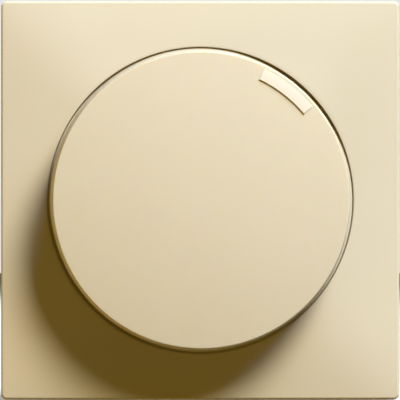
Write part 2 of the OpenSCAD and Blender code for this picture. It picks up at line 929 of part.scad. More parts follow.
module triac_nut() {
  nut_z1 = triac_z1 - triac_tab_t;
  color(steel) stand() translate([triac_hole_x, triac_y, 0]) difference() {
    translate([0, 0, nut_z1 - tri_nut_h]) linear_extrude(tri_nut_h) hexagon(tri_nut_af);
    bar(tri_screw_r + press_gap, nut_z1 - tri_nut_h - over, nut_z1 + over);
  }
}

module choke_core() {
  color(ferrite) stand() translate([0, choke_y, 0])
    tube(choke_r, choke_in_r, choke_z0, choke_z0 + choke_h);
}

module choke_winding() {
  side = choke_r - choke_in_r;
  color(copper) stand() translate([0, choke_y, 0]) for (i = [0:winding_n - 1]) {
    rotate([0, 0, i * 360 / winding_n])
      translate([choke_in_r - winding_t, -winding_w / 2, choke_z0 - winding_t]) difference() {
        cube([side + 2 * winding_t, winding_w, choke_h + 2 * winding_t]);
        translate([winding_t / 2, -over, winding_t - press_gap])
          cube([side + winding_t, winding_w + 2 * over, choke_h + 2 * press_gap]);
      }
  }
}

module film_capacitors() {
  color(blue) stand() union() {
    translate([cap_a_x, cap_a_y, pcb_z1]) cube([cap_a_w, cap_a_l, cap_a_h]);
    translate([cap_b_x, cap_b_y, pcb_z1]) cube([cap_b_w, cap_b_l, cap_b_h]);
  }
}

module resistors() {
  color(board_brown) stand() union() {
    translate([res_a[0], res_a[1], axial_z]) rotate([0, 0, 90]) axial(res_r, res_l);
    translate([res_b[0], res_b[1], axial_z]) axial(res_r, res_l);
  }
}

module trigger_diode() {
  color(blue) stand() translate([diode_at[0], diode_at[1], axial_z]) axial(diode_r, diode_l);
}

module trimmer_case() {
  color(blue) stand() translate([trim_x, trim_y, 0]) difference() {
    slab(trim_w, trim_w, pcb_z1, pcb_z1 + trim_h);
    bar(trim_disc_r + run_gap, pcb_z1 + trim_h - trim_disc_h - run_gap, pcb_z1 + trim_h + over);
  }
}

module trimmer_rotor() {
  disc_z1 = pcb_z1 + trim_h;
  color(white) stand() translate([trim_x, trim_y, 0]) difference() {
    union() {
      bar(trim_disc_r, disc_z1 - trim_disc_h, disc_z1);
      bar(trim_stem_r, disc_z1 - eps, trim_top);
    }
    slab(2 * trim_stem_r + over, driver_slot_w, trim_top - driver_slot_h, trim_top + over);
  }
}

module fuse_clips() {
  color(brass) stand() for (s = [-1, 1]) {
    translate([fuse_x, s * fuse_clip_y, 0]) difference() {
      slab(fuse_clip_w, fuse_clip_l, pcb_z1, fuse_z + fuse_r / 2);
      translate([0, 0, fuse_z]) rotate([90, 0, 0])
        cylinder(r = fuse_r + press_gap, h = fuse_clip_l + over, center = true, $fn = turned_fn);
      translate([0, 0, fuse_z]) slab(fuse_clip_w - 4 * fuse_clip_t, fuse_clip_l + over, 0, fuse_r);
      slab(fuse_clip_w - 4 * fuse_clip_t, fuse_clip_l + over, pcb_z1 + 2 * fuse_clip_t,
        fuse_z - fuse_r - fuse_clip_t);
    }
  }
}

module fuse_glass() {
  glass_l = fuse_l - 2 * fuse_cap_l;
  color(glass_tint) stand() translate([fuse_x, 0, fuse_z]) rotate([90, 0, 0])
    tube(fuse_glass_r, fuse_glass_r - 2 * fuse_clip_t, -glass_l / 2, glass_l / 2);
}

module fuse_caps() {
  color(steel) stand() for (s = [-1, 1]) {
    translate([fuse_x, s * (fuse_l - fuse_cap_l) / 2, fuse_z]) rotate([90, 0, 0])
      cylinder(r = fuse_r, h = fuse_cap_l, center = true, $fn = turned_fn);
  }
}

module terminal_clamps() {
  color(brass) stand() for (x = term_at) {
    translate([x, term_y, 0]) difference() {
      union() {
        slab(term_w, term_h, term_z0, term_z1);
        translate([-term_tab_w / 2, 0, pcb_z1])
          cube([term_tab_w, term_tab_y - term_y, term_tab_t]);
      }
      bar(wire_r, term_z0 - over, term_z1 + over);
      translate([0, 0, term_mid_z]) rotate([90, 0, 0])
        cylinder(r = tscrew_r + press_gap, h = term_h, $fn = turned_fn);
    }
  }
}

module terminal_screws() {
  head_y = tscrew_neck_y - tscrew_head_h;
  color(steel) stand() for (x = term_at) {
    translate([x, 0, term_mid_z]) difference() {
      union() {
        translate([0, tscrew_tip_y, 0]) rotate([90, 0, 0])
          cylinder(r = tscrew_r, h = tscrew_tip_y - tscrew_neck_y + eps, $fn = turned_fn);
        translate([0, tscrew_neck_y, 0]) rotate([90, 0, 0])
          cylinder(r = tscrew_head_r, h = tscrew_head_h, $fn = turned_fn);
      }
      translate([-tscrew_head_r - over, head_y - over, -driver_slot_w / 2])
        cube([2 * tscrew_head_r + 2 * over, driver_slot_h + over, driver_slot_w]);
    }
  }
}

// ---- claws, modelled on the right and mirrored for the left ----

module claw_pins() {
  pin_l = claw_w + 2 * lug_gap + 2 * lug_t;
  color(steel) stand() for (s = [-1, 1]) {
    translate([s * pin_x, 0, pin_z]) rotate([90, 0, 0])
      cylinder(r = pin_r, h = pin_l, center = true, $fn = turned_fn);
  }
}

// a level bar along y at a place in the claw
module cross_bar(r, x, z) {
  translate([x, 0, z]) rotate([90, 0, 0])
    cylinder(r = r, h = claw_w, center = true, $fn = turned_fn);
}

module claw_shape() {
  leg_x = bend_x - claw_t / 2;
  translate([pin_x, 0, pin_z]) difference() {
    union() {
      cross_bar(knuckle_r, 0, 0);
      rotate([0, claw_swing, 0]) slab_x(arm_l, claw_w, claw_t);
      cross_bar(claw_t / 2, bend_x, bend_z);
      translate([leg_x, -claw_w / 2, -claw_leg]) cube([claw_t, claw_w, claw_leg + bend_z]);
      for (i = [-1:1]) {
        translate([leg_x, i * tooth_pitch, -claw_leg]) rotate([90, 0, 0])
          linear_extrude(tooth_w, center = true)
          polygon([[0, 0], [claw_t + tooth_out, 0], [0, tooth_h]]);
      }
    }
    rotate([90, 0, 0])
      cylinder(r = pin_r + run_gap, h = claw_w + over, center = true, $fn = turned_fn);
    rotate([0, claw_swing, 0]) translate([claw_screw_dx * (1 + 1 / cos(claw_swing)) / 2, 0, 0])
      slab(claw_slot_l, claw_slot_w, -claw_t, claw_t);
  }
}

// a level plate from the pivot outwards
module slab_x(l, w, t) {
  translate([0, -w / 2, -t / 2]) cube([l, w, t]);
}

module claw_right() {
  color(steel) stand() claw_shape();
}

module claw_left() {
  color(steel) stand() mirror([1, 0, 0]) claw_shape();
}

module claw_screw_shape() {
  translate([claw_screw_x, 0, 0]) difference() {
    union() {
      bar(claw_screw_r, claw_screw_end, ring_t + claw_head_h / 2);
      bar(claw_head_r, ring_t + press_gap, ring_t + claw_head_h);
    }
    slab(2 * claw_head_r + over, driver_slot_w, ring_t + claw_head_h - driver_slot_h,
      ring_t + claw_head_h + over);
  }
}

module claw_screw_right() {
  color(steel) stand() claw_screw_shape();
}

module claw_screw_left() {
  color(steel) stand() mirror([1, 0, 0]) claw_screw_shape();
}

module claw_nut_shape() {
  translate([claw_screw_x, 0, barrel_z]) difference() {
    rotate([90, 0, 0]) cylinder(r = barrel_r, h = barrel_l, center = true, $fn = turned_fn);
    bar(claw_screw_r + barrel_fit, -barrel_r - over, barrel_r + over);
  }
}

module claw_nut_right() {
  color(brass) stand() claw_nut_shape();
}

module claw_nut_left() {
  color(brass) stand() mirror([1, 0, 0]) claw_nut_shape();
}

// ---- nodes ----

cover_plate();
knob();
position_marker();
knob_clip();
fixing_nut();
lock_washer();
bushing();
shaft();
shaft_clip();
pot_case();
track_board();
carbon_track();
wiper_carrier();
wiper_spring();
switch_case();
switch_plunger();
return_spring();
contact_bridge();
fixed_contacts();
support_ring();
housing_front();
housing_cup();
housing_screws();
circuit_board();
triac();
triac_pad();
triac_screw();
triac_nut();
choke_core();
choke_winding();
film_capacitors();
resistors();
trigger_diode();
trimmer_case();
trimmer_rotor();
fuse_clips();
fuse_glass();
fuse_caps();
terminal_clamps();
terminal_screws();
claw_pins();
claw_left();
claw_right();
claw_screw_left();
claw_screw_right();
claw_nut_left();
claw_nut_right();
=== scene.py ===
"""Flush rotary dimmer: finished surfaces, materials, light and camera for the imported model.

Shapes are worked out in wall coordinates in millimetres: x to the right, y up, z out of the wall.
They are turned into the shared frame, where the front faces -Y and up is +Z, as they become meshes.
"""
import logging
import math
from dataclasses import dataclass, field
from enum import Enum

import bpy
import numpy as np
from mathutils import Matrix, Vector


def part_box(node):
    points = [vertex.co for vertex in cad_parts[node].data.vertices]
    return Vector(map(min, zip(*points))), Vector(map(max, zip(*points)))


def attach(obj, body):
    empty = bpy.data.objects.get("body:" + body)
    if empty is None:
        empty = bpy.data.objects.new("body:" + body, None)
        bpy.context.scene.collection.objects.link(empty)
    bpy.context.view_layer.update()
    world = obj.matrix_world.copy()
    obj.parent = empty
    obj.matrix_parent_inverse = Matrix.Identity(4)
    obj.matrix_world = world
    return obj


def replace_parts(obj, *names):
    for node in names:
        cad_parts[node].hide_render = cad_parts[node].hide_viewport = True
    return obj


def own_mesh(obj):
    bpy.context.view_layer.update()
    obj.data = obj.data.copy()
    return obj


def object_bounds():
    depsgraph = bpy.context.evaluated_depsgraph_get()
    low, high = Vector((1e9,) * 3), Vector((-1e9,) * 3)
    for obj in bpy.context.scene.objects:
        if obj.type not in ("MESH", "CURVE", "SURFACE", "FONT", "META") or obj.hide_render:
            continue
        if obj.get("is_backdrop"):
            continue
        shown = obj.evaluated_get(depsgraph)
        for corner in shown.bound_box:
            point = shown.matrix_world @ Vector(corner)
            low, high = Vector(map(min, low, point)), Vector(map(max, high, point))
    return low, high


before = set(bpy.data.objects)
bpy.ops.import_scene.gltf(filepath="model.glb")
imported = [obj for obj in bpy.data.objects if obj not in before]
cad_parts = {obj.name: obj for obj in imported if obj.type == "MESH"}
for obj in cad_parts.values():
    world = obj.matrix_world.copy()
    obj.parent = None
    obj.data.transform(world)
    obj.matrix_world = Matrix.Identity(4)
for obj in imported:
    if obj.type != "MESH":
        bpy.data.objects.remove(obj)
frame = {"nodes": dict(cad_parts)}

log = logging.getLogger("dimmer")
MM = 0.001
DUST_COLOUR = (0.42, 0.39, 0.34)
COAT_ROUGHNESS = 0.12
Colour = tuple[float, float, float]


# ---------------------------------------------------------------- surfaces

def to_frame(points: np.ndarray) -> np.ndarray:
    """Turns wall coordinates in millimetres into the shared frame in metres: (x, y, z) to (x, -z, y).

    Args:
        points: any array whose last axis is (x, y, z) in millimetres.

    Returns:
        The same array shape, in metres.
    """
    return np.stack([points[..., 0], -points[..., 2], points[..., 1]], axis=-1) * MM


def to_wall(point: Vector) -> np.ndarray:
    """Turns a point of the shared frame in metres into wall coordinates in millimetres."""
    return np.array([point.x, point.z, -point.y]) / MM


@dataclass
class Skin:
    """Vertices and faces of one closed surface, before it becomes a mesh."""

    points: np.ndarray
    quads: np.ndarray
    tris: np.ndarray

    def volume(self) -> float:
        """Signed volume: the sum over all triangles of a . (b x c) / 6."""
        faces = np.concatenate([self.quads[:, [0, 1, 2]], self.quads[:, [0, 2, 3]], self.tris])
        a, b, c = (self.points[faces[:, k]] for k in range(3))
        return float((a * np.cross(b, c)).sum() / 6)

    def outward(self) -> "Skin":
        """The same surface with its faces pointing outwards."""
        if self.volume() >= 0:
            return self
        return Skin(self.points, self.quads[:, ::-1], self.tris[:, ::-1])


def skin(stations: np.ndarray, loop: bool = False) -> Skin:
    """Joins closed rings of points into one closed surface.

    Ring i is joined to ring i + 1 point by point. A looped surface joins its last ring to its first,
    as on a torus; otherwise each end closes on one point in the middle of its ring.

    Args:
        stations: array (rings, points round a ring, 3) in wall millimetres.
        loop: True if the rings themselves form a ring.

    Returns:
        The surface, pointing outwards.
    """
    rings, around = stations.shape[:2]
    points = stations.reshape(-1, 3)
    i = np.arange(rings if loop else rings - 1)[:, None]
    j = np.arange(around)[None, :]
    nxt_i, nxt_j = (i + 1) % rings, (j + 1) % around
    quads = np.stack([i * around + j, i * around + nxt_j, nxt_i * around + nxt_j, nxt_i * around + j], -1)
    quads = quads.reshape(-1, 4)
    tris = np.zeros((0, 3), int)
    if not loop:
        ends = np.stack([stations[0].mean(0), stations[-1].mean(0)])
        k = np.arange(around)
        nxt = (k + 1) % around
        first, last = len(points), len(points) + 1
        base = (rings - 1) * around
        tris = np.concatenate([
            np.stack([np.full(around, first), nxt, k], -1),
            np.stack([np.full(around, last), base + k, base + nxt], -1)])
        points = np.concatenate([points, ends])
    return Skin(points, quads, tris).outward()


def merged(skins: list[Skin]) -> Skin:
    """Puts several closed surfaces into one set of points and faces."""
    starts = np.cumsum([0] + [len(s.points) for s in skins[:-1]])
    return Skin(np.concatenate([s.points for s in skins]),
                np.concatenate([s.quads + n for s, n in zip(skins, starts)]),
                np.concatenate([s.tris + n for s, n in zip(skins, starts)]))


def turned(profile: np.ndarray, around: int) -> np.ndarray:
    """Turns a half section round the z axis: x = r cos(a), y = r sin(a), z = z.

    Args:
        profile: array (n, 2) of radius and height in millimetres.
        around: number of points round the axis.

    Returns:
        Rings as (n, around, 3).
    """
    a = np.linspace(0, 2 * math.pi, around, endpoint=False)
    r, z = profile[:, :1], profile[:, 1:]
    return np.stack([r * np.cos(a), r * np.sin(a), np.broadcast_to(z, (len(profile), around))], -1)


def arc(centre: tuple[float, float], radius: float, start: float, stop: float, steps: int) -> np.ndarray:
    """Points on an arc of a half section: centre + radius (sin a, cos a), a in degrees from the z axis.

    Args:
        centre: radius and height of the arc's centre.
        radius: the arc's radius.
        start: first angle, measured from the z axis towards larger radii.
        stop: last angle.
        steps: number of points.

    Returns:
        Array (steps, 2).
    """
    a = np.radians(np.linspace(start, stop, steps))
    return np.stack([centre[0] + radius * np.sin(a), centre[1] + radius * np.cos(a)], -1)


def rounded(corners: np.ndarray, radius: float, steps: int) -> np.ndarray:
    """Rounds every corner of a closed polygon with a quadratic curve between points beside the corner.

    The curve is (1-t)^2 p + 2t(1-t) c + t^2 q, where c is the corner and p and q lie the radius away.

    Args:
        corners: array (n, 2).
        radius: how far from each corner the rounding starts.
        steps: points in each rounding.

    Returns:
        Array (n * steps, 2).
    """
    before = np.roll(corners, 1, 0) - corners
    after = np.roll(corners, -1, 0) - corners
    len_b = np.linalg.norm(before, axis=1, keepdims=True)
    len_a = np.linalg.norm(after, axis=1, keepdims=True)
    p = corners + before / len_b * np.minimum(radius, len_b * 0.45)
    q = corners + after / len_a * np.minimum(radius, len_a * 0.45)
    t = np.linspace(0, 1, steps)[None, :, None]
    curve = (1 - t) ** 2 * p[:, None] + 2 * t * (1 - t) * corners[:, None] + t ** 2 * q[:, None]
    return curve.reshape(-1, 2)


def wire(path: np.ndarray, radius: float, middle: np.ndarray, sides: int) -> Skin:
    """Carries a circle along a path: centre + radius (cos b * side + sin b * up) at every point.

    The side vector points away from the middle, less its part along the path.

    Args:
        path: array (n, 3) in millimetres.
        radius: the wire's radius.
        middle: what the path winds round, one point or one for each point of the path.
        sides: points round the wire.

    Returns:
        A closed tube with its ends shut.
    """
    along = np.gradient(path, axis=0)
    along /= np.linalg.norm(along, axis=1, keepdims=True)
    side = path - middle
    side -= (side * along).sum(1, keepdims=True) * along
    side /= np.linalg.norm(side, axis=1, keepdims=True)
    up = np.cross(along, side)
    b = np.linspace(0, 2 * math.pi, sides, endpoint=False)[None, :, None]
    rings = path[:, None] + radius * (np.cos(b) * side[:, None] + np.sin(b) * up[:, None])
    return skin(rings)


def add_piece(name: str, surface: Skin, material: bpy.types.Material,
              smooth_deg: float = 34.0) -> bpy.types.Object:
    """Makes one object at the origin from a surface.

    Args:
        name: the object's name.
        surface: the surface in wall millimetres.
        material: its finish.
        smooth_deg: edges that turn by more than this stay sharp.

    Returns:
        The new object, linked to the scene.
    """
    mesh = bpy.data.meshes.new(name)
    faces = surface.quads.tolist() + surface.tris.tolist()
    mesh.from_pydata(to_frame(surface.points).tolist(), [], faces)
    mesh.update()
    mesh.shade_smooth()
    mesh.set_sharp_from_angle(angle=math.radians(smooth_deg))
    mesh.materials.append(material)
    piece = bpy.data.objects.new(name, mesh)
    bpy.context.scene.collection.objects.link(piece)
    log.info("%s: %d faces", name, len(faces))
    return piece


# ---------------------------------------------------------------- shared surface effects

class Tree:
    """A node tree with short calls for adding and joining nodes."""

    def __init__(self, tree: bpy.types.NodeTree) -> None:
        """Keeps the tree to work on."""
        self.tree = tree

    def add(self, kind: str, **settings) -> bpy.types.Node:
        """Adds a node of a kind, such as "TexNoise", and sets its properties."""
        node = self.tree.nodes.new("ShaderNode" + kind)
        for key, value in settings.items():
            setattr(node, key, value)
        return node

    def join(self, source: bpy.types.NodeSocket, target: bpy.types.NodeSocket) -> None:
        """Links an output to an input."""
        self.tree.links.new(source, target)

    def feed(self, value, target: bpy.types.NodeSocket) -> None:
        """Links a socket to an input, or sets a plain number on it."""
        if isinstance(value, bpy.types.NodeSocket):
            self.join(value, target)
        else:
            target.default_value = value

    def math(self, operation: str, a, b=0.0, clamp: bool = False) -> bpy.types.NodeSocket:
        """Adds a Math node on two values and returns its result."""
        node = self.add("Math", operation=operation, use_clamp=clamp)
        self.feed(a, node.inputs[0])
        self.feed(b, node.inputs[1])
        return node.outputs[0]

    def blend(self, a, share_a: float, b, share_b: float) -> bpy.types.NodeSocket:
        """Adds two values, each times its share, and returns the result."""
        return self.math("ADD", self.math("MULTIPLY", a, share_a), self.math("MULTIPLY", b, share_b))

    def remap(self, value, low: float, high: float, to_low: float = 0.0, to_high: float = 1.0,
              smooth: bool = False) -> bpy.types.NodeSocket:
        """Carries a value from one range to another, clamped at both ends."""
        node = self.add("MapRange", clamp=True)
        if smooth:
            node.interpolation_type = "SMOOTHSTEP"
        self.feed(value, node.inputs["Value"])
        for name, number in (("From Min", low), ("From Max", high), ("To Min", to_low), ("To Max", to_high)):
            self.feed(number, node.inputs[name])
        return node.outputs["Result"]

    def mix(self, factor, a, b) -> bpy.types.NodeSocket:
        """Mixes two colours by a factor and returns the result."""
        node = self.add("Mix", data_type="RGBA")
        self.feed(factor, node.inputs[0])
        for value, target in ((a, node.inputs[6]), (b, node.inputs[7])):
            self.feed(value if isinstance(value, bpy.types.NodeSocket) else (*value, 1.0), target)
        return node.outputs[2]

    def noise(self, vector, scale, detail: float = 3.0, roughness: float = 0.5) -> bpy.types.NodeSocket:
        """Adds a noise texture and returns its value."""
        node = self.add("TexNoise")
        self.join(vector, node.inputs["Vector"])
        self.feed(scale, node.inputs["Scale"])
        node.inputs["Detail"].default_value = detail
        node.inputs["Roughness"].default_value = roughness
        return node.outputs["Fac"]


class Effect(Enum):
    """Surface effects shared by several materials, each built once as a node group."""

    MOULDED = "moulded_surface"
    BRUSHED = "drawn_metal"
    SPANGLE = "zinc_spangle"
    WOVEN = "woven_laminate"
    PRESSED = "pressed_powder"
    WORN = "rubbed_edges"
    DUST = "settled_dust"


INPUTS: dict[Effect, tuple[tuple[str, float], ...]] = {
    Effect.MOULDED: (("Grain Scale", 5200.0), ("Flow Scale", 60.0)),
    Effect.BRUSHED: (("Line Scale", 9000.0), ("Stretch", 0.02)),
    Effect.SPANGLE: (("Crystal Scale", 900.0), ("Pit Scale", 6000.0)),
    Effect.WOVEN: (("Thread Scale", 1400.0), ("Stain Scale", 120.0)),
    Effect.PRESSED: (("Grit Scale", 7000.0), ("Blotch Scale", 300.0)),
    Effect.WORN: (("Threshold", 0.53), ("Patch Scale", 700.0)),
    Effect.DUST: (("Speck Scale", 3000.0), ("Cover", 0.5)),
}


def object_place(tree: Tree) -> bpy.types.NodeSocket:
    """The surface's place in object coordinates."""
    return tree.add("TexCoord").outputs["Object"]


def build_moulded(tree: Tree, given: dict[str, bpy.types.NodeSocket]) -> dict[str, bpy.types.NodeSocket]:
    """Spark-eroded moulding texture: fine even grain, with slow flow marks in tone and gloss.

    Args:
        tree: the group to build in.
        given: the group's inputs by name.

    Returns:
        The group's outputs by name: Height and Tone.
    """
    place = object_place(tree)
    grain = tree.noise(place, given["Grain Scale"], 4.0, 0.6)
    fine = tree.noise(place, tree.math("MULTIPLY", given["Grain Scale"], 2.7), 2.0, 0.5)
    flow = tree.noise(place, given["Flow Scale"], 4.0, 0.55)
    height = tree.blend(grain, 0.7, fine, 0.3)
    tone = tree.blend(flow, 0.75, grain, 0.25)
    return {"Height": height, "Tone": tone}


def build_brushed(tree: Tree, given: dict[str, bpy.types.NodeSocket]) -> dict[str, bpy.types.NodeSocket]:
    """Drawn metal: noise squeezed along one direction gives long fine lines, broken by a slow tone.

    Args:
        tree: the group to build in.
        given: the group's inputs by name.

    Returns:
        The group's outputs by name: Height and Tone.
    """
    place = object_place(tree)
    split = tree.add("SeparateXYZ")
    tree.join(place, split.inputs[0])
    both = tree.add("CombineXYZ")
    tree.join(split.outputs[0], both.inputs[0])
    tree.join(split.outputs[1], both.inputs[1])
    tree.join(tree.math("MULTIPLY", split.outputs[2], given["Stretch"]), both.inputs[2])
    lines = tree.noise(both.outputs[0], given["Line Scale"], 3.0, 0.6)
    slow = tree.noise(place, 140.0, 3.0, 0.5)
    tone = tree.blend(lines, 0.6, slow, 0.4)
    return {"Height": lines, "Tone": tone}


def build_spangle(tree: Tree, given: dict[str, bpy.types.NodeSocket]) -> dict[str, bpy.types.NodeSocket]:
    """Zinc plating: crystal cells of slightly different tone, with fine pits and cloudy passivation.

    Args:
        tree: the group to build in.
        given: the group's inputs by name.

    Returns:
        The group's outputs by name: Height and Tone.
    """
    place = object_place(tree)
    cells = tree.add("TexVoronoi")
    tree.join(place, cells.inputs["Vector"])
    tree.feed(given["Crystal Scale"], cells.inputs["Scale"])
    grey = tree.add("RGBToBW")
    tree.join(cells.outputs["Color"], grey.inputs[0])
    pits = tree.noise(place, given["Pit Scale"], 3.0, 0.6)
    cloud = tree.noise(place, 90.0, 4.0, 0.55)
    tone = tree.blend(grey.outputs[0], 0.35, cloud, 0.65)
    height = tree.blend(pits, 0.7, grey.outputs[0], 0.3)
    return {"Height": height, "Tone": tone}


def build_woven(tree: Tree, given: dict[str, bpy.types.NodeSocket]) -> dict[str, bpy.types.NodeSocket]:
    """Laminate: two crossing sets of threads under resin, with faint stains.

    Args:
        tree: the group to build in.
        given: the group's inputs by name.

    Returns:
        The group's outputs by name: Height and Tone.
    """
    place = object_place(tree)
    sets = []
    for direction in ("X", "Z"):
        wave = tree.add("TexWave", wave_type="BANDS", bands_direction=direction)
        tree.join(place, wave.inputs["Vector"])
        tree.feed(given["Thread Scale"], wave.inputs["Scale"])
        wave.inputs["Distortion"].default_value = 0.6
        sets.append(wave.outputs["Fac"])
    weave = tree.math("MAXIMUM", sets[0], sets[1])
    stain = tree.noise(place, given["Stain Scale"], 4.0, 0.6)
    tone = tree.blend(weave, 0.35, stain, 0.65)
    return {"Height": weave, "Tone": tone}


def build_pressed(tree: Tree, given: dict[str, bpy.types.NodeSocket]) -> dict[str, bpy.types.NodeSocket]:
    """Pressed powder, such as ferrite or carbon: coarse grit over slow blotches.

    Args:
        tree: the group to build in.
        given: the group's inputs by name.

    Returns:
        The group's outputs by name: Height and Tone.
    """
    place = object_place(tree)
    grit = tree.noise(place, given["Grit Scale"], 5.0, 0.7)
    blotch = tree.noise(place, given["Blotch Scale"], 3.0, 0.5)
    tone = tree.blend(grit, 0.5, blotch, 0.5)
    return {"Height": grit, "Tone": tone}


def build_worn(tree: Tree, given: dict[str, bpy.types.NodeSocket]) -> dict[str, bpy.types.NodeSocket]:
    """Rubbed edges: convex places above a threshold, broken up by patchy noise.

    Args:
        tree: the group to build in.
        given: the group's inputs by name.

    Returns:
        The group's outputs by name: Mask.
    """
    convex = tree.add("NewGeometry").outputs["Pointiness"]
    high = tree.math("ADD", given["Threshold"], 0.07)
    edge = tree.remap(convex, given["Threshold"], high, smooth=True)
    patch = tree.remap(tree.noise(object_place(tree), given["Patch Scale"], 4.0, 0.6), 0.35, 0.65)
    return {"Mask": tree.math("MULTIPLY", edge, patch, clamp=True)}


def build_dust(tree: Tree, given: dict[str, bpy.types.NodeSocket]) -> dict[str, bpy.types.NodeSocket]:
    """Dust on faces that look up: the normal's upward part times fine specks and slow drifts.

    Args:
        tree: the group to build in.
        given: the group's inputs by name.

    Returns:
        The group's outputs by name: Mask.
    """
    split = tree.add("SeparateXYZ")
    tree.join(tree.add("NewGeometry").outputs["Normal"], split.inputs[0])
    up = tree.remap(split.outputs[2], 0.25, 1.0)
    place = object_place(tree)
    specks = tree.remap(tree.noise(place, given["Speck Scale"], 3.0, 0.6), 0.5, 0.75)
    drift = tree.remap(tree.noise(place, 150.0, 3.0, 0.5), 0.3, 0.7)
    layer = tree.math("MULTIPLY", up, tree.math("ADD", tree.math("MULTIPLY", specks, 0.5), drift))
    return {"Mask": tree.math("MULTIPLY", layer, given["Cover"], clamp=True)}


BUILDERS = {
    Effect.MOULDED: build_moulded, Effect.BRUSHED: build_brushed, Effect.SPANGLE: build_spangle,
    Effect.WOVEN: build_woven, Effect.PRESSED: build_pressed, Effect.WORN: build_worn,
    Effect.DUST: build_dust,
}


def effect_group(effect: Effect) -> bpy.types.NodeTree:
    """Gives the node group of an effect, building it the first time.

    Args:
        effect: which surface effect.

    Returns:
        The node group, with named inputs and outputs.
    """
    group = bpy.data.node_groups.get(effect.value)
    if group is not None:
        return group
    group = bpy.data.node_groups.new(effect.value, "ShaderNodeTree")
    for name, default in INPUTS[effect]:
        socket = group.interface.new_socket(name=name, in_out="INPUT", socket_type="NodeSocketFloat")
        socket.default_value = default
    source = group.nodes.new("NodeGroupInput")
    results = BUILDERS[effect](Tree(group), {name: source.outputs[name] for name, _ in INPUTS[effect]})
    for name in results:
        group.interface.new_socket(name=name, in_out="OUTPUT", socket_type="NodeSocketFloat")
    sink = group.nodes.new("NodeGroupOutput")
    for name, socket in results.items():
        group.links.new(socket, sink.inputs[name])
    return group


@dataclass(frozen=True)
class Finish:
    """One finish: its colours, gloss and the shared effects that it carries."""

    name: str
    base: Colour
    shade: Colour
    effect: Effect = Effect.MOULDED
    rough: tuple[float, float] = (0.45, 0.6)
    metallic: float = 0.0
    specular: float = 0.5
    depth_um: float = 6.0
    wear: Colour | None = None
    wear_from: float = 0.53
    dust: float = 0.0
    coat: float = 0.0
    subsurface: float = 0.0
    depth_mm: float = 1.2
    spread: Colour = (1.0, 0.6, 0.25)
    clear: float = 0.0
    settings: tuple[tuple[str, float], ...] = ()

    def place_effect(self, tree: Tree, effect: Effect, **values: float) -> bpy.types.Node:
        """Puts an effect's group into the material with this finish's values."""
        node = tree.add("Group", node_tree=effect_group(effect))
        for key, value in values.items():
            node.inputs[key.replace("_", " ")].default_value = value
        return node

    def material(self) -> bpy.types.Material:
        """Builds the material, or gives it back if it was built before.

        Returns:
            A material whose colour, roughness and relief come from the shared effects.
        """
        made = bpy.data.materials.get(self.name)
        if made is not None:
            return made
        made = bpy.data.materials.new(self.name)
        made.use_nodes = True
        tree = Tree(made.node_tree)
        shader = made.node_tree.nodes["Principled BSDF"]
        surface = self.place_effect(tree, self.effect)
        for key, value in self.settings:
            surface.inputs[key].default_value = value
        colour = tree.mix(tree.remap(surface.outputs["Tone"], 0.3, 0.7), self.base, self.shade)
        rough = tree.remap(surface.outputs["Tone"], 0.3, 0.7, self.rough[0], self.rough[1])
        if self.wear is not None:
            worn = self.place_effect(tree, Effect.WORN, Threshold=self.wear_from).outputs["Mask"]
            colour = tree.mix(worn, colour, self.wear)
            rough = tree.math("SUBTRACT", rough, tree.math("MULTIPLY", worn, 0.12), clamp=True)
        if self.dust > 0:
            layer = self.place_effect(tree, Effect.DUST, Cover=self.dust).outputs["Mask"]
            colour = tree.mix(layer, colour, DUST_COLOUR)
            rough = tree.math("ADD", rough, tree.math("MULTIPLY", layer, 0.25), clamp=True)
        tree.join(colour, shader.inputs["Base Color"])
        tree.join(rough, shader.inputs["Roughness"])
        shader.inputs["Metallic"].default_value = self.metallic
        shader.inputs["Specular IOR Level"].default_value = self.specular
        shader.inputs["Coat Weight"].default_value = self.coat
        shader.inputs["Coat Roughness"].default_value = COAT_ROUGHNESS
        shader.inputs["Transmission Weight"].default_value = self.clear
        shader.inputs["Subsurface Weight"].default_value = self.subsurface
        shader.inputs["Subsurface Scale"].default_value = self.depth_mm * MM
        shader.inputs["Subsurface Radius"].default_value = self.spread
        bump = tree.add("Bump")
        bump.inputs["Strength"].default_value = 1.0
        bump.inputs["Distance"].default_value = self.depth_um * 1e-6
        tree.join(surface.outputs["Height"], bump.inputs["Height"])
        tree.join(bump.outputs["Normal"], shader.inputs["Normal"])
        made.diffuse_color = (*self.base, 1.0)
        return made


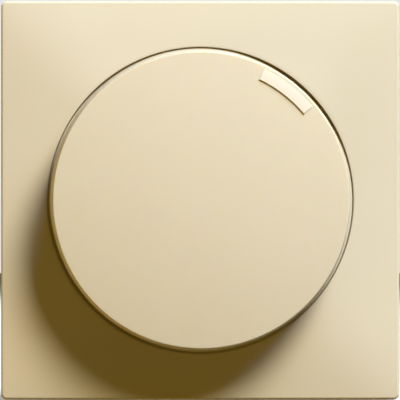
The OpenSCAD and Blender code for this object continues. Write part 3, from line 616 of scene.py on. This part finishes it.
class Finishes:
    """Every finish of the dimmer."""

    PLATE = Finish("cream_cover_plate", (0.820, 0.742, 0.575), (0.802, 0.720, 0.550), rough=(0.5, 0.62),
                   specular=0.12, depth_um=1.6)
    KNOB = Finish("cream_knob", (0.820, 0.742, 0.575), (0.804, 0.722, 0.553), rough=(0.46, 0.58),
                  specular=0.12, depth_um=1.2, subsurface=0.25)
    # The marker is moulded in the knob's own cream. Its lighter, whiter colour is painted highlight: it
    # stands in for the light that falls on its facet, which tilts towards the lamps.
    MARKER_PAINTED_HIGHLIGHT = Finish("cream_marker_painted_highlight", (0.84, 0.765, 0.63), (0.825, 0.745, 0.605), rough=(0.4, 0.5),
                    specular=0.14, depth_um=0.8)
    RING = Finish("zinc_plated_ring", (0.56, 0.57, 0.58), (0.45, 0.46, 0.48), Effect.SPANGLE, (0.34, 0.5),
                  metallic=1.0, depth_um=4.0, wear=(0.70, 0.70, 0.69), dust=0.1)
    ZINC = Finish("zinc_plated_screws", (0.66, 0.66, 0.66), (0.52, 0.53, 0.54), Effect.SPANGLE, (0.26, 0.42),
                  metallic=1.0, depth_um=3.0, wear=(0.82, 0.82, 0.80),
                  settings=(("Crystal Scale", 2600.0),))
    CLAW = Finish("yellow_passivated_claws", (0.66, 0.60, 0.42), (0.52, 0.47, 0.36), Effect.SPANGLE,
                  (0.3, 0.46), metallic=1.0, depth_um=4.0, wear=(0.70, 0.69, 0.64), dust=0.1,
                  settings=(("Crystal Scale", 1500.0),))
    SPRING = Finish("spring_steel", (0.56, 0.56, 0.57), (0.40, 0.40, 0.42), Effect.BRUSHED, (0.22, 0.36),
                    metallic=1.0, depth_um=1.5)
    BRIGHT = Finish("bright_steel", (0.72, 0.72, 0.72), (0.60, 0.60, 0.61), Effect.BRUSHED, (0.16, 0.3),
                    metallic=1.0, depth_um=1.2, wear=(0.85, 0.85, 0.84))
    NUT_BRASS = Finish("plain_brass", (0.80, 0.62, 0.30), (0.62, 0.46, 0.22), Effect.BRUSHED, (0.22, 0.38),
                       metallic=1.0, depth_um=2.0, wear=(0.90, 0.76, 0.46))
    CLAMP = Finish("nickelled_brass", (0.70, 0.66, 0.52), (0.56, 0.52, 0.40), Effect.BRUSHED, (0.26, 0.42),
                   metallic=1.0, depth_um=2.5, wear=(0.86, 0.74, 0.45))
    BRONZE = Finish("contact_bronze", (0.72, 0.46, 0.28), (0.56, 0.35, 0.22), Effect.BRUSHED, (0.24, 0.4),
                    metallic=1.0, depth_um=1.5)
    COPPER = Finish("enamelled_copper", (0.62, 0.22, 0.08), (0.48, 0.15, 0.055), Effect.BRUSHED, (0.2, 0.32),
                    metallic=0.85, coat=0.7, depth_um=1.0, settings=(("Line Scale", 3000.0),))
    HOUSING = Finish("grey_housing", (0.200, 0.205, 0.215), (0.180, 0.185, 0.195), rough=(0.42, 0.58),
                     specular=0.4, depth_um=7.0, wear=(0.26, 0.26, 0.27), wear_from=0.56, dust=0.1,
                     settings=(("Grain Scale", 2600.0),))
    POT = Finish("dark_pot_case", (0.045, 0.05, 0.06), (0.03, 0.033, 0.04), rough=(0.35, 0.5), depth_um=5.0,
                 wear=(0.12, 0.12, 0.13))
    BLACK = Finish("black_epoxy", (0.022, 0.022, 0.024), (0.035, 0.035, 0.037), rough=(0.4, 0.6),
                   depth_um=4.0, wear=(0.09, 0.09, 0.09))
    WHITE = Finish("white_acetal", (0.78, 0.77, 0.73), (0.70, 0.69, 0.65), rough=(0.3, 0.45), depth_um=2.0)
    BOARD = Finish("paper_laminate", (0.36, 0.22, 0.085), (0.27, 0.155, 0.055), Effect.WOVEN, (0.35, 0.55),
                   depth_um=4.0, coat=0.25)
    CARBON = Finish("carbon_film", (0.03, 0.03, 0.032), (0.055, 0.053, 0.05), Effect.PRESSED, (0.5, 0.7),
                    depth_um=2.0)
    FERRITE = Finish("coated_ferrite", (0.55, 0.50, 0.10), (0.42, 0.38, 0.07), Effect.PRESSED, (0.45, 0.65),
                     depth_um=9.0, wear=(0.12, 0.11, 0.10))
    PAD = Finish("grey_pad", (0.42, 0.44, 0.46), (0.34, 0.36, 0.38), Effect.WOVEN, (0.6, 0.8), depth_um=6.0,
                 settings=(("Thread Scale", 2400.0),))
    FILM_CAP = Finish("dipped_blue", (0.035, 0.11, 0.33), (0.025, 0.08, 0.25), rough=(0.25, 0.4),
                      depth_um=8.0, coat=0.3, settings=(("Grain Scale", 1800.0),))
    RESISTOR = Finish("resistor_lacquer", (0.55, 0.42, 0.26), (0.45, 0.33, 0.2), rough=(0.3, 0.45),
                      depth_um=4.0, coat=0.4)
    DIODE = Finish("diode_glass", (0.62, 0.20, 0.06), (0.50, 0.14, 0.04), rough=(0.08, 0.16), depth_um=0.6,
                   clear=0.6)
    FUSE = Finish("fuse_glass", (0.92, 0.96, 0.95), (0.88, 0.93, 0.92), rough=(0.03, 0.07), depth_um=0.3,
                  clear=1.0)


DRESSING: dict[str, Finish] = {
    "bushing": Finishes.NUT_BRASS, "fixing_nut": Finishes.NUT_BRASS, "lock_washer": Finishes.ZINC,
    "housing_screws": Finishes.ZINC, "triac_screw": Finishes.ZINC, "triac_nut": Finishes.ZINC,
    "terminal_screws": Finishes.ZINC, "claw_screw_left": Finishes.ZINC, "claw_screw_right": Finishes.ZINC,
    "knob_clip": Finishes.SPRING, "shaft_clip": Finishes.SPRING, "shaft": Finishes.BRIGHT,
    "fuse_caps": Finishes.BRIGHT, "claw_pins": Finishes.BRIGHT, "pot_case": Finishes.POT,
    "track_board": Finishes.BOARD, "circuit_board": Finishes.BOARD, "carbon_track": Finishes.CARBON,
    "wiper_carrier": Finishes.WHITE, "switch_plunger": Finishes.WHITE, "trimmer_rotor": Finishes.WHITE,
    "wiper_spring": Finishes.BRONZE, "contact_bridge": Finishes.BRONZE, "fixed_contacts": Finishes.BRONZE,
    "fuse_clips": Finishes.BRONZE, "switch_case": Finishes.HOUSING, "housing_front": Finishes.HOUSING,
    "housing_cup": Finishes.HOUSING, "support_ring": Finishes.RING, "triac": Finishes.BLACK,
    "triac_pad": Finishes.PAD, "choke_core": Finishes.FERRITE, "film_capacitors": Finishes.FILM_CAP,
    "trimmer_case": Finishes.FILM_CAP, "resistors": Finishes.RESISTOR, "trigger_diode": Finishes.DIODE,
    "fuse_glass": Finishes.FUSE, "terminal_clamps": Finishes.CLAMP, "claw_nut_left": Finishes.CLAMP,
    "claw_nut_right": Finishes.CLAMP, "claw_left": Finishes.CLAW, "claw_right": Finishes.CLAW,
}


# ---------------------------------------------------------------- sub-assemblies

@dataclass
class CoverPlate:
    """Square cover plate with a softly sloping face and a round seat for the knob. Sizes in millimetres."""

    half: float = 35.2
    corner_r: float = 1.0
    edge_r: float = 0.5
    wall: float = 1.8
    seat_r: float = 26.97
    rim_r: float = 0.25
    seat_z: float = 5.5
    face_z: float = 9.0
    back_z: float = 1.6
    hole_r: float = 4.8
    cove_r: float = 0.4
    roof_z: float = 6.2
    side_chamfer: float = 0.12
    slope: float = 0.104
    bend: float = 0.0026
    blend: float = 3.4
    side_points: int = 96
    corner_points: int = 16

    def outline(self) -> tuple[np.ndarray, np.ndarray]:
        """Outline of the rounded square and its outward normals.

        On each side a point runs from one corner arc to the next; on a corner arc it is
        centre + corner_r (cos a, sin a). Each side is the first one turned by a quarter.

        Returns:
            Two arrays (n, 2): points and unit normals.
        """
        flat = self.half - self.corner_r
        t = np.linspace(-1, 1, self.side_points)
        a = np.linspace(0, math.pi / 2, self.corner_points + 2)[1:-1]
        side = np.stack([np.full_like(t, self.half), flat * t], -1)
        bend = np.stack([flat + self.corner_r * np.cos(a), flat + self.corner_r * np.sin(a)], -1)
        side_n = np.stack([np.ones_like(t), np.zeros_like(t)], -1)
        bend_n = np.stack([np.cos(a), np.sin(a)], -1)
        points, normals = np.concatenate([side, bend]), np.concatenate([side_n, bend_n])
        turns = [np.array([[c, s], [-s, c]]) for c, s in ((1, 0), (0, 1), (-1, 0), (0, -1))]
        return (np.concatenate([points @ q for q in turns]), np.concatenate([normals @ q for q in turns]))

    def height(self, xy: np.ndarray) -> np.ndarray:
        """Height of the face: it falls with m, a soft maximum of |x| and |y|.

        m = b ln(exp(|x|/b) + exp(|y|/b)) and z = face - slope d - bend d |d|, where d = m - m0 and m0 is
        the seat's rim, so the four slopes meet in soft folds along the diagonals.

        Args:
            xy: array whose last axis is (x, y).

        Returns:
            The heights, in an array of one axis less.
        """
        m = self.blend * np.logaddexp(np.abs(xy[..., 0]) / self.blend, np.abs(xy[..., 1]) / self.blend)
        out = m - self.seat_r - self.rim_r
        return self.face_z - self.slope * out - self.bend * np.sign(out) * out ** 2

    def stations(self) -> np.ndarray:
        """Rings from the bushing's hole over the seat, face, side and underside, back to the hole.

        Returns:
            Array (rings, points round a ring, 3), to be joined as a loop.
        """
        edge, normal = self.outline()
        ray = edge / np.linalg.norm(edge, axis=1, keepdims=True)

        def ring(xy: np.ndarray, z) -> np.ndarray:
            """One ring from its plan and its heights."""
            return np.concatenate([xy, np.broadcast_to(z, len(xy))[:, None]], axis=1)

        rim_top = self.height(ray * (self.seat_r + self.rim_r))
        inset = edge - normal * self.edge_r
        lip = self.height(inset)
        inner = edge * (self.half - self.wall) / self.half
        low = self.seat_z - self.wall
        cup = self.seat_r + self.wall
        rings = [ring(ray * self.hole_r, z) for z in (low + 0.1, (low + self.seat_z) / 2, self.seat_z - 0.1)]
        rings += [ring(ray * r, self.seat_z) for r in
                  np.concatenate([[self.hole_r + 0.1], np.linspace(7, self.seat_r - 0.5, 8)])]
        cove = np.radians(np.linspace(15, 90, 5))
        rings += [ring(ray * (self.seat_r - self.cove_r + self.cove_r * math.sin(a)),
                       self.seat_z + self.cove_r - self.cove_r * math.cos(a))
                  for a in cove]
        foot = self.seat_z + self.cove_r
        rings += [ring(ray * self.seat_r, foot + (rim_top - self.rim_r - foot) * t)
                  for t in (0.33, 0.66, 1.0)]
        roll = np.radians(np.linspace(12, 90, 8))
        rings += [ring(ray * (self.seat_r + self.rim_r - self.rim_r * math.cos(a)),
                       rim_top - self.rim_r + self.rim_r * math.sin(a)) for a in roll]
        start = ray * (self.seat_r + self.rim_r)
        for t in np.linspace(0, 1, 26)[1:]:
            plan = start * (1 - t) + inset * t
            rings.append(ring(plan, self.height(plan)))
        roll = np.radians(np.linspace(10, 90, 9))
        rings += [ring(inset + normal * self.edge_r * math.sin(a), lip - self.edge_r * (1 - math.cos(a)))
                  for a in roll]
        rings += [ring(edge, lip - self.edge_r + (self.back_z + self.side_chamfer - lip + self.edge_r) * t)
                  for t in (0.3, 0.65, 1.0)]
        rings += [ring(edge - normal * self.side_chamfer, self.back_z), ring(inner, self.back_z)]
        rings += [ring(inner, z) for z in (self.back_z + 0.2, 3.8, self.roof_z - 0.3)]
        rings += [ring(inner * 0.99, self.roof_z), ring(inner * 0.5 + ray * (cup + 0.4) * 0.5, self.roof_z)]
        rings += [ring(ray * (cup + 0.2), self.roof_z), ring(ray * cup, self.roof_z - 0.2)]
        rings.append(ring(ray * cup, low + 0.2))
        rings += [ring(ray * r, low) for r in (cup - 0.2, 20.0, 12.0, self.hole_r + 0.2)]
        return np.stack(rings)

    def build(self) -> bpy.types.Object:
        """Makes the plate and lets it stand for its CAD node."""
        piece = add_piece("cover_plate_finish", skin(self.stations(), loop=True), Finishes.PLATE.material())
        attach(piece, "base")
        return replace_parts(piece, "cover_plate")


@dataclass
class TurningKnob:
    """Large domed knob with its inner skin, hub and ribs. Sizes in millimetres."""

    face_r: float = 26.05
    foot_r: float = 26.55
    top_z: float = 21.0
    foot_z: float = 7.4
    dome: float = 1.55
    edge_r: float = 0.2
    wall: float = 1.8
    lip_r: float = 26.86
    lip_z: float = 8.82
    hub_r: float = 5.0
    bore_r: float = 3.03
    hub_z: float = 10.4
    shaft_z: float = 19.2
    ribs: int = 8
    rib_z: float = 14.1
    rib_half: float = 0.5

    @property
    def ball_r(self) -> float:
        """Radius of the ball that the face is part of: (r^2 + h^2) / 2h."""
        return (self.face_r ** 2 + self.dome ** 2) / (2 * self.dome)

    @property
    def ball_z(self) -> float:
        """Height of that ball's centre."""
        return self.top_z - self.ball_r

    def face_height(self, r) -> np.ndarray:
        """Height of the domed face at radius r: centre + sqrt(R^2 - r^2)."""
        return self.ball_z + np.sqrt(self.ball_r ** 2 - np.asarray(r) ** 2)

    def skin_height(self, r) -> np.ndarray:
        """Height of the inner skin, on a ball with the same centre, one wall smaller."""
        return self.ball_z + np.sqrt((self.ball_r - self.wall) ** 2 - np.asarray(r) ** 2)

    def section(self) -> np.ndarray:
        """Half section from the middle of the face, over the edge, down the side and in to the bore.

        Returns:
            Array (n, 2) of radius and height.
        """
        corner_x = self.face_r - self.edge_r
        corner_z = self.ball_z + math.sqrt((self.ball_r - self.edge_r) ** 2 - corner_x ** 2)
        lean = math.degrees(math.asin(corner_x / (self.ball_r - self.edge_r)))
        face_r = np.linspace(0.4, corner_x + self.edge_r * math.sin(math.radians(lean)) - 0.05, 48)
        face = np.stack([face_r, self.face_height(face_r)], -1)
        edge = arc((corner_x, corner_z), self.edge_r, lean, 90, 10)
        t = np.linspace(0, 1, 9)[1:, None]
        foot = np.array([self.foot_r, self.lip_z + 0.12])
        side = np.concatenate([edge[-1] * (1 - t) + foot * t,
                               [[self.foot_r + 0.1, self.lip_z], [self.lip_r - 0.08, self.lip_z - 0.02]]])
        toe = np.concatenate([[[self.lip_r, self.lip_z - 0.1]],
                              arc((self.lip_r - 0.25, self.foot_z + 0.25), 0.25, 90, 180, 5)])
        heel = arc((self.foot_r - self.wall + 0.2, self.foot_z + 0.2), 0.2, 180, 270, 4)
        in_r = self.face_r - self.wall
        wall = np.stack([np.linspace(self.foot_r - self.wall, in_r, 5)[1:],
                         np.linspace(self.foot_z, float(self.skin_height(in_r)) - 0.4, 5)[1:]], -1)
        skin_r = np.linspace(in_r - 0.35, self.hub_r + 0.4, 16)
        ceiling = np.stack([skin_r, self.skin_height(skin_r)], -1)
        hub = np.array([[self.hub_r, float(self.skin_height(self.hub_r)) - 0.4], [self.hub_r, 14.5],
                        [self.hub_r, self.hub_z + 0.2], [self.hub_r - 0.2, self.hub_z],
                        [self.bore_r + 0.25, self.hub_z], [self.bore_r, self.hub_z + 0.25],
                        [self.bore_r, 15.0], [self.bore_r, self.shaft_z], [0.3, self.shaft_z]])
        return np.concatenate([face, edge, side, toe, heel, wall, ceiling, hub])

    def rib(self, angle: float) -> Skin:
        """One rib: a thin upright blade from hub to wall whose top follows the skin.

        Args:
            angle: where it stands round the hub, in radians.

        Returns:
            The closed blade.
        """
        r = np.linspace(self.hub_r - 0.2, self.face_r - self.wall + 0.15, 12)
        top = self.skin_height(r) + 0.3
        low = np.full_like(r, self.rib_z)
        ring = np.stack([np.stack([r, np.full_like(r, s * self.rib_half), z], -1)
                         for s, z in ((-1, low), (1, low), (1, top), (-1, top))], axis=1)
        c, s = math.cos(angle), math.sin(angle)
        return skin(ring @ np.array([[c, s, 0], [-s, c, 0], [0, 0, 1]]))

    def build(self, turn_deg: float) -> bpy.types.Object:
        """Makes the knob and lets it stand for its CAD node.

        Diffuse light from other pieces passes it by, so that the plate round it stays even.

        Args:
            turn_deg: where the first rib stands.

        Returns:
            The knob.
        """
        blades = [self.rib(math.radians(turn_deg + i * 360 / self.ribs)) for i in range(self.ribs)]
        shell = skin(turned(self.section(), 320))
        piece = add_piece("knob_finish", merged([shell, *blades]), Finishes.KNOB.material())
        piece.visible_diffuse = False
        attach(piece, "rotor")
        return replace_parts(piece, "knob")


@dataclass
class PositionMarker:
    """Raised wedge near the knob's edge: a step on its inner side, level with the face on its outer side."""

    knob: TurningKnob
    centre_deg: float = 52.2
    span_deg: float = 24.2
    in_r: float = 23.5
    out_r: float = 25.6
    rise: float = 0.3
    foot: float = 0.6
    end_chamfer: float = 0.07
    corner_r: float = 0.09
    proud: float = 0.012
    first_step: float = 0.0012
    second_step: float = 0.003
    first_depth: float = 1.2
    second_depth: float = 3.5

    def section(self) -> np.ndarray:
        """Rounded outline of the wedge in radius and height."""
        out_z, in_z = float(self.knob.face_height(self.out_r)), float(self.knob.face_height(self.in_r))
        corners = np.array([[self.in_r, out_z - self.foot], [self.out_r, out_z - self.foot],
                            [self.out_r, out_z + self.proud], [self.in_r, in_z + self.rise]])
        return rounded(corners, self.corner_r, 6)

    def build(self) -> bpy.types.Object:
        """Sweeps the outline along its arc: (r cos a, r sin a, z), drawn in a little at both ends."""
        outline = self.section()
        middle = outline.mean(0)
        half = math.radians(self.span_deg / 2)
        inner = half - self.second_step
        a = np.concatenate([[-half, self.first_step - half], np.linspace(-inner, inner, 60),
                            [half - self.first_step, half]])
        draw = np.ones(len(a))
        draw[[0, -1]] = 1 - self.end_chamfer / self.first_depth
        draw[[1, -2]] = 1 - self.end_chamfer / self.second_depth
        rz = middle + (outline - middle)[None] * draw[:, None, None]
        a = a + math.radians(self.centre_deg)
        rings = np.stack([rz[..., 0] * np.cos(a)[:, None], rz[..., 0] * np.sin(a)[:, None], rz[..., 1]], -1)
        # Its material is the knob's cream with painted highlight: lighter and whiter than the knob.
        piece = add_piece("position_marker_finish", skin(rings), Finishes.MARKER_PAINTED_HIGHLIGHT.material(), 40)
        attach(piece, "rotor")
        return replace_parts(piece, "position_marker")


@dataclass
class ReturnSpring:
    """Coil spring behind the push plunger, with a closed turn at each end."""

    wire_r: float = 0.24
    turns: float = 4.5
    end_turns: float = 0.7
    travel: float = 1.4

    def build(self) -> bpy.types.Object:
        """Path: (r cos a, r sin a, z), where z eases in and out so that the end turns lie flat."""
        low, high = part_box("return_spring")
        a_end, b_end = to_wall(low), to_wall(high)
        z0, z1 = min(a_end[2], b_end[2]), max(a_end[2], b_end[2])
        coil_r = abs(b_end[0] - a_end[0]) / 2 - self.wire_r - 0.02
        t = np.linspace(0, 1, 260)
        ease = np.clip((t * self.turns - self.end_turns) / (self.turns - 2 * self.end_turns), 0, 1)
        a = 2 * math.pi * self.turns * t
        z = z0 + self.wire_r + (z1 - z0 - 2 * self.wire_r) * (0.09 * t + 0.91 * ease)
        path = np.stack([coil_r * np.cos(a), coil_r * np.sin(a), z], -1)
        coil = wire(path, self.wire_r, path.mean(0), 12)
        piece = add_piece("return_spring_finish", coil, Finishes.SPRING.material(), 60)
        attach(piece, "base")
        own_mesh(piece)
        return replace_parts(piece, "return_spring")


@dataclass
class ChokeWinding:
    """Enamelled wire wound round the ring core."""

    wire_r: float = 0.27
    turns: int = 20
    cover_deg: float = 330.0
    core_in_r: float = 3.2
    squareness: float = 0.45

    def build(self) -> bpy.types.Object:
        """Path: round the core's rounded section once a turn, while going round the ring.

        The section is a squared circle: radial w sgn(cos b)|cos b|^p and axial h sgn(sin b)|sin b|^p,
        where a p below 1 squares it.
        """
        a_end, b_end = (to_wall(v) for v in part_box("choke_core"))
        low, high = np.minimum(a_end, b_end), np.maximum(a_end, b_end)
        centre = (low + high) / 2
        out_r, in_r = (high[0] - low[0]) / 2, self.core_in_r
        t = np.linspace(0, 1, self.turns * 26)
        b = 2 * math.pi * self.turns * t
        a = math.radians(self.cover_deg) * (t - 0.5) + math.pi / 2
        gap = self.wire_r + 0.04
        c, s = np.cos(b), np.sin(b)
        radial = ((out_r - in_r) / 2 + gap) * np.sign(c) * np.abs(c) ** self.squareness
        axial = ((high[2] - low[2]) / 2 + gap) * np.sign(s) * np.abs(s) ** self.squareness
        r = (out_r + in_r) / 2 + radial
        path = np.stack([centre[0] + r * np.cos(a), centre[1] + r * np.sin(a), centre[2] + axial], -1)
        ring_middle = np.stack([centre[0] + (out_r + in_r) / 2 * np.cos(a),
                                centre[1] + (out_r + in_r) / 2 * np.sin(a), np.full_like(a, centre[2])], -1)
        winding = wire(path, self.wire_r, ring_middle, 10)
        piece = add_piece("choke_winding_finish", winding, Finishes.COPPER.material(), 60)
        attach(piece, "base")
        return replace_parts(piece, "choke_winding")


@dataclass
class Mechanism:
    """The carried-over pieces, which keep their shapes and get their finishes."""

    nodes: dict[str, bpy.types.Object] = field(default_factory=dict)

    def dress(self) -> None:
        """Puts each piece's finish into its material slots."""
        for name, finish in DRESSING.items():
            node = self.nodes[name]
            if not node.material_slots:
                node.data.materials.append(finish.material())
            for holder in node.material_slots:
                holder.material = finish.material()
            log.info("%s: %s", name, finish.name)


# ---------------------------------------------------------------- studio

class Ray(Enum):
    """Kinds of light path that the surroundings answer differently."""

    CAMERA = "Is Camera Ray"
    GLOSSY = "Is Glossy Ray"


@dataclass
class Studio:
    """Pale floor, lamps in front and behind, dim warm surroundings and the camera. Distances in metres."""

    key_azimuth: float = 62.0
    key_tilt: float = 50.0
    key_distance: float = 1.6
    key_size: float = 0.54
    key_watts: float = 24.2
    key_colour: Colour = (1.0, 0.88, 0.62)
    wash_azimuth: float = 62.0
    wash_tilt: float = 67.0
    wash_size: float = 1.12
    wash_watts: float = 21.0
    wash_colour: Colour = (0.72, 1.0, 1.5)
    low_azimuth: float = 205.0
    low_tilt: float = 76.0
    low_size: float = 0.8
    low_watts: float = 5.2
    low_colour: Colour = (1.0, 0.66, 0.14)
    rear: tuple[tuple[str, tuple[float, float, float], float, float, Colour], ...] = (
        ("rear_left", (-0.75, 1.45, 0.55), 0.9, 15.0, (1.0, 0.98, 0.95)),
        ("rear_right", (0.7, 1.35, 0.9), 0.7, 12.0, (0.97, 0.98, 1.0)))
    fill: Colour = (0.082, 0.053, 0.006)
    gloss: Colour = (0.22, 0.21, 0.19)
    backdrop: Colour = (0.80, 0.79, 0.77)
    camera_left_deg: float = 0.85
    camera_low_deg: float = 0.1
    camera_distance: float = 1.4
    camera_shift: float = 0.00006
    sensor_mm: float = 36.0
    view_width: float = 0.0707
    view_plane_y: float = -0.008
    floor_half: float = 3.0
    floor_cells: int = 8
    floor_gap: float = 0.0002

    def floor(self, z: float) -> None:
        """Lays a plain pale floor under the object.

        It passes no light on and casts no shadow, since the low lamp stands below its level.

        Args:
            z: the floor's height.
        """
        cells = self.floor_cells
        n = np.linspace(-self.floor_half, self.floor_half, cells + 1)
        x, y = np.meshgrid(n, n, indexing="ij")
        verts = np.stack([x, y, np.full_like(x, z)], -1).reshape(-1, 3)
        i, j = np.meshgrid(np.arange(cells), np.arange(cells), indexing="ij")
        k = (i * (cells + 1) + j).reshape(-1)
        mesh = bpy.data.meshes.new("floor")
        mesh.from_pydata(verts.tolist(), [], np.stack([k, k + cells + 1, k + cells + 2, k + 1], -1).tolist())
        paper = Finish("pale_floor", (0.74, 0.73, 0.70), (0.72, 0.71, 0.68), rough=(0.7, 0.85), specular=0.2,
                       depth_um=4.0, settings=(("Grain Scale", 900.0), ("Flow Scale", 3.0)))
        mesh.materials.append(paper.material())
        plane = bpy.data.objects.new("floor", mesh)
        plane.visible_diffuse = False
        plane.visible_shadow = False
        bpy.context.scene.collection.objects.link(plane)
        plane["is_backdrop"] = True

    def lamp(self, name: str, place: Vector, size: float, watts: float, colour: Colour) -> None:
        """Adds a round soft light that faces the object and is sampled only directly.

        Args:
            name: the lamp's name.
            place: where it stands.
            size: its width.
            watts: its power.
            colour: its colour.
        """
        light = bpy.data.lights.new(name, "AREA")
        light.shape = "DISK"
        light.size = size
        light.energy = watts
        light.color = colour
        light.cycles.use_multiple_importance_sampling = False
        lamp = bpy.data.objects.new(name, light)
        lamp.location = place
        lamp.rotation_euler = (Vector((0, 0, 0)) - place).to_track_quat("-Z", "Y").to_euler()
        bpy.context.scene.collection.objects.link(lamp)

    def toward(self, azimuth: float, tilt: float, distance: float) -> Vector:
        """A place in front of the plate, by angle round it and angle off its axis, in degrees."""
        a, t = math.radians(azimuth), math.radians(tilt)
        return Vector((math.sin(t) * math.cos(a), -math.cos(t), math.sin(t) * math.sin(a))) * distance

    def lights(self) -> None:
        """A key, a wide wash and a low warm lamp in front, and two lamps behind that reach only the back."""
        self.lamp("key", self.toward(self.key_azimuth, self.key_tilt, self.key_distance), self.key_size,
                  self.key_watts, self.key_colour)
        self.lamp("wash", self.toward(self.wash_azimuth, self.wash_tilt, self.key_distance), self.wash_size,
                  self.wash_watts, self.wash_colour)
        self.lamp("low", self.toward(self.low_azimuth, self.low_tilt, self.key_distance), self.low_size,
                  self.low_watts, self.low_colour)
        for name, place, size, watts, colour in self.rear:
            self.lamp(name, Vector(place), size, watts, colour)

    def surroundings(self) -> None:
        """A pale backdrop for the camera, a grey room for reflections and dim warm light for the rest."""
        world = bpy.data.worlds.new("studio")
        world.use_nodes = True
        bpy.context.scene.world = world
        tree = Tree(world.node_tree)
        path = tree.add("LightPath")
        glossy = tree.mix(path.outputs[Ray.GLOSSY.value], self.fill, self.gloss)
        colour = tree.mix(path.outputs[Ray.CAMERA.value], glossy, self.backdrop)
        tree.join(colour, world.node_tree.nodes["Background"].inputs["Color"])

    def camera(self) -> None:
        """A long lens, almost straight in front, a little to the left and below."""
        data = bpy.data.cameras.new("camera")
        data.sensor_width = self.sensor_mm
        data.lens = self.sensor_mm * self.camera_distance / self.view_width
        data.clip_start, data.clip_end = 0.01, 20.0
        left, low = math.radians(self.camera_left_deg), math.radians(self.camera_low_deg)
        back = Vector((-math.sin(left), -math.cos(left) * math.cos(low), -math.sin(low))).normalized()
        target = Vector((-self.camera_shift, self.view_plane_y, self.camera_shift))
        eye = bpy.data.objects.new("camera", data)
        eye.location = target + back * self.camera_distance
        eye.rotation_euler = (-back).to_track_quat("-Z", "Y").to_euler()
        bpy.context.scene.collection.objects.link(eye)
        bpy.context.scene.camera = eye

    def build(self, lowest: float) -> None:
        """Sets up the whole studio, with the floor a little below the object's lowest point."""
        scene = bpy.context.scene
        scene.view_settings.view_transform = "Standard"
        scene.view_settings.look = "None"
        self.floor(lowest - self.floor_gap)
        self.lights()
        self.surroundings()
        self.camera()


def main() -> None:
    """Builds every piece in order, dresses the rest and sets up the studio."""
    logging.basicConfig(level=logging.INFO, format="%(name)s %(message)s")
    low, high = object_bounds()
    CoverPlate().build()
    knob = TurningKnob()
    marker = PositionMarker(knob)
    knob.build(marker.centre_deg)
    marker.build()
    ReturnSpring().build()
    ChokeWinding().build()
    Mechanism(frame["nodes"]).dress()
    Studio().build(low.z)
    bpy.context.view_layer.update()


if __name__ == "__main__":
    main()
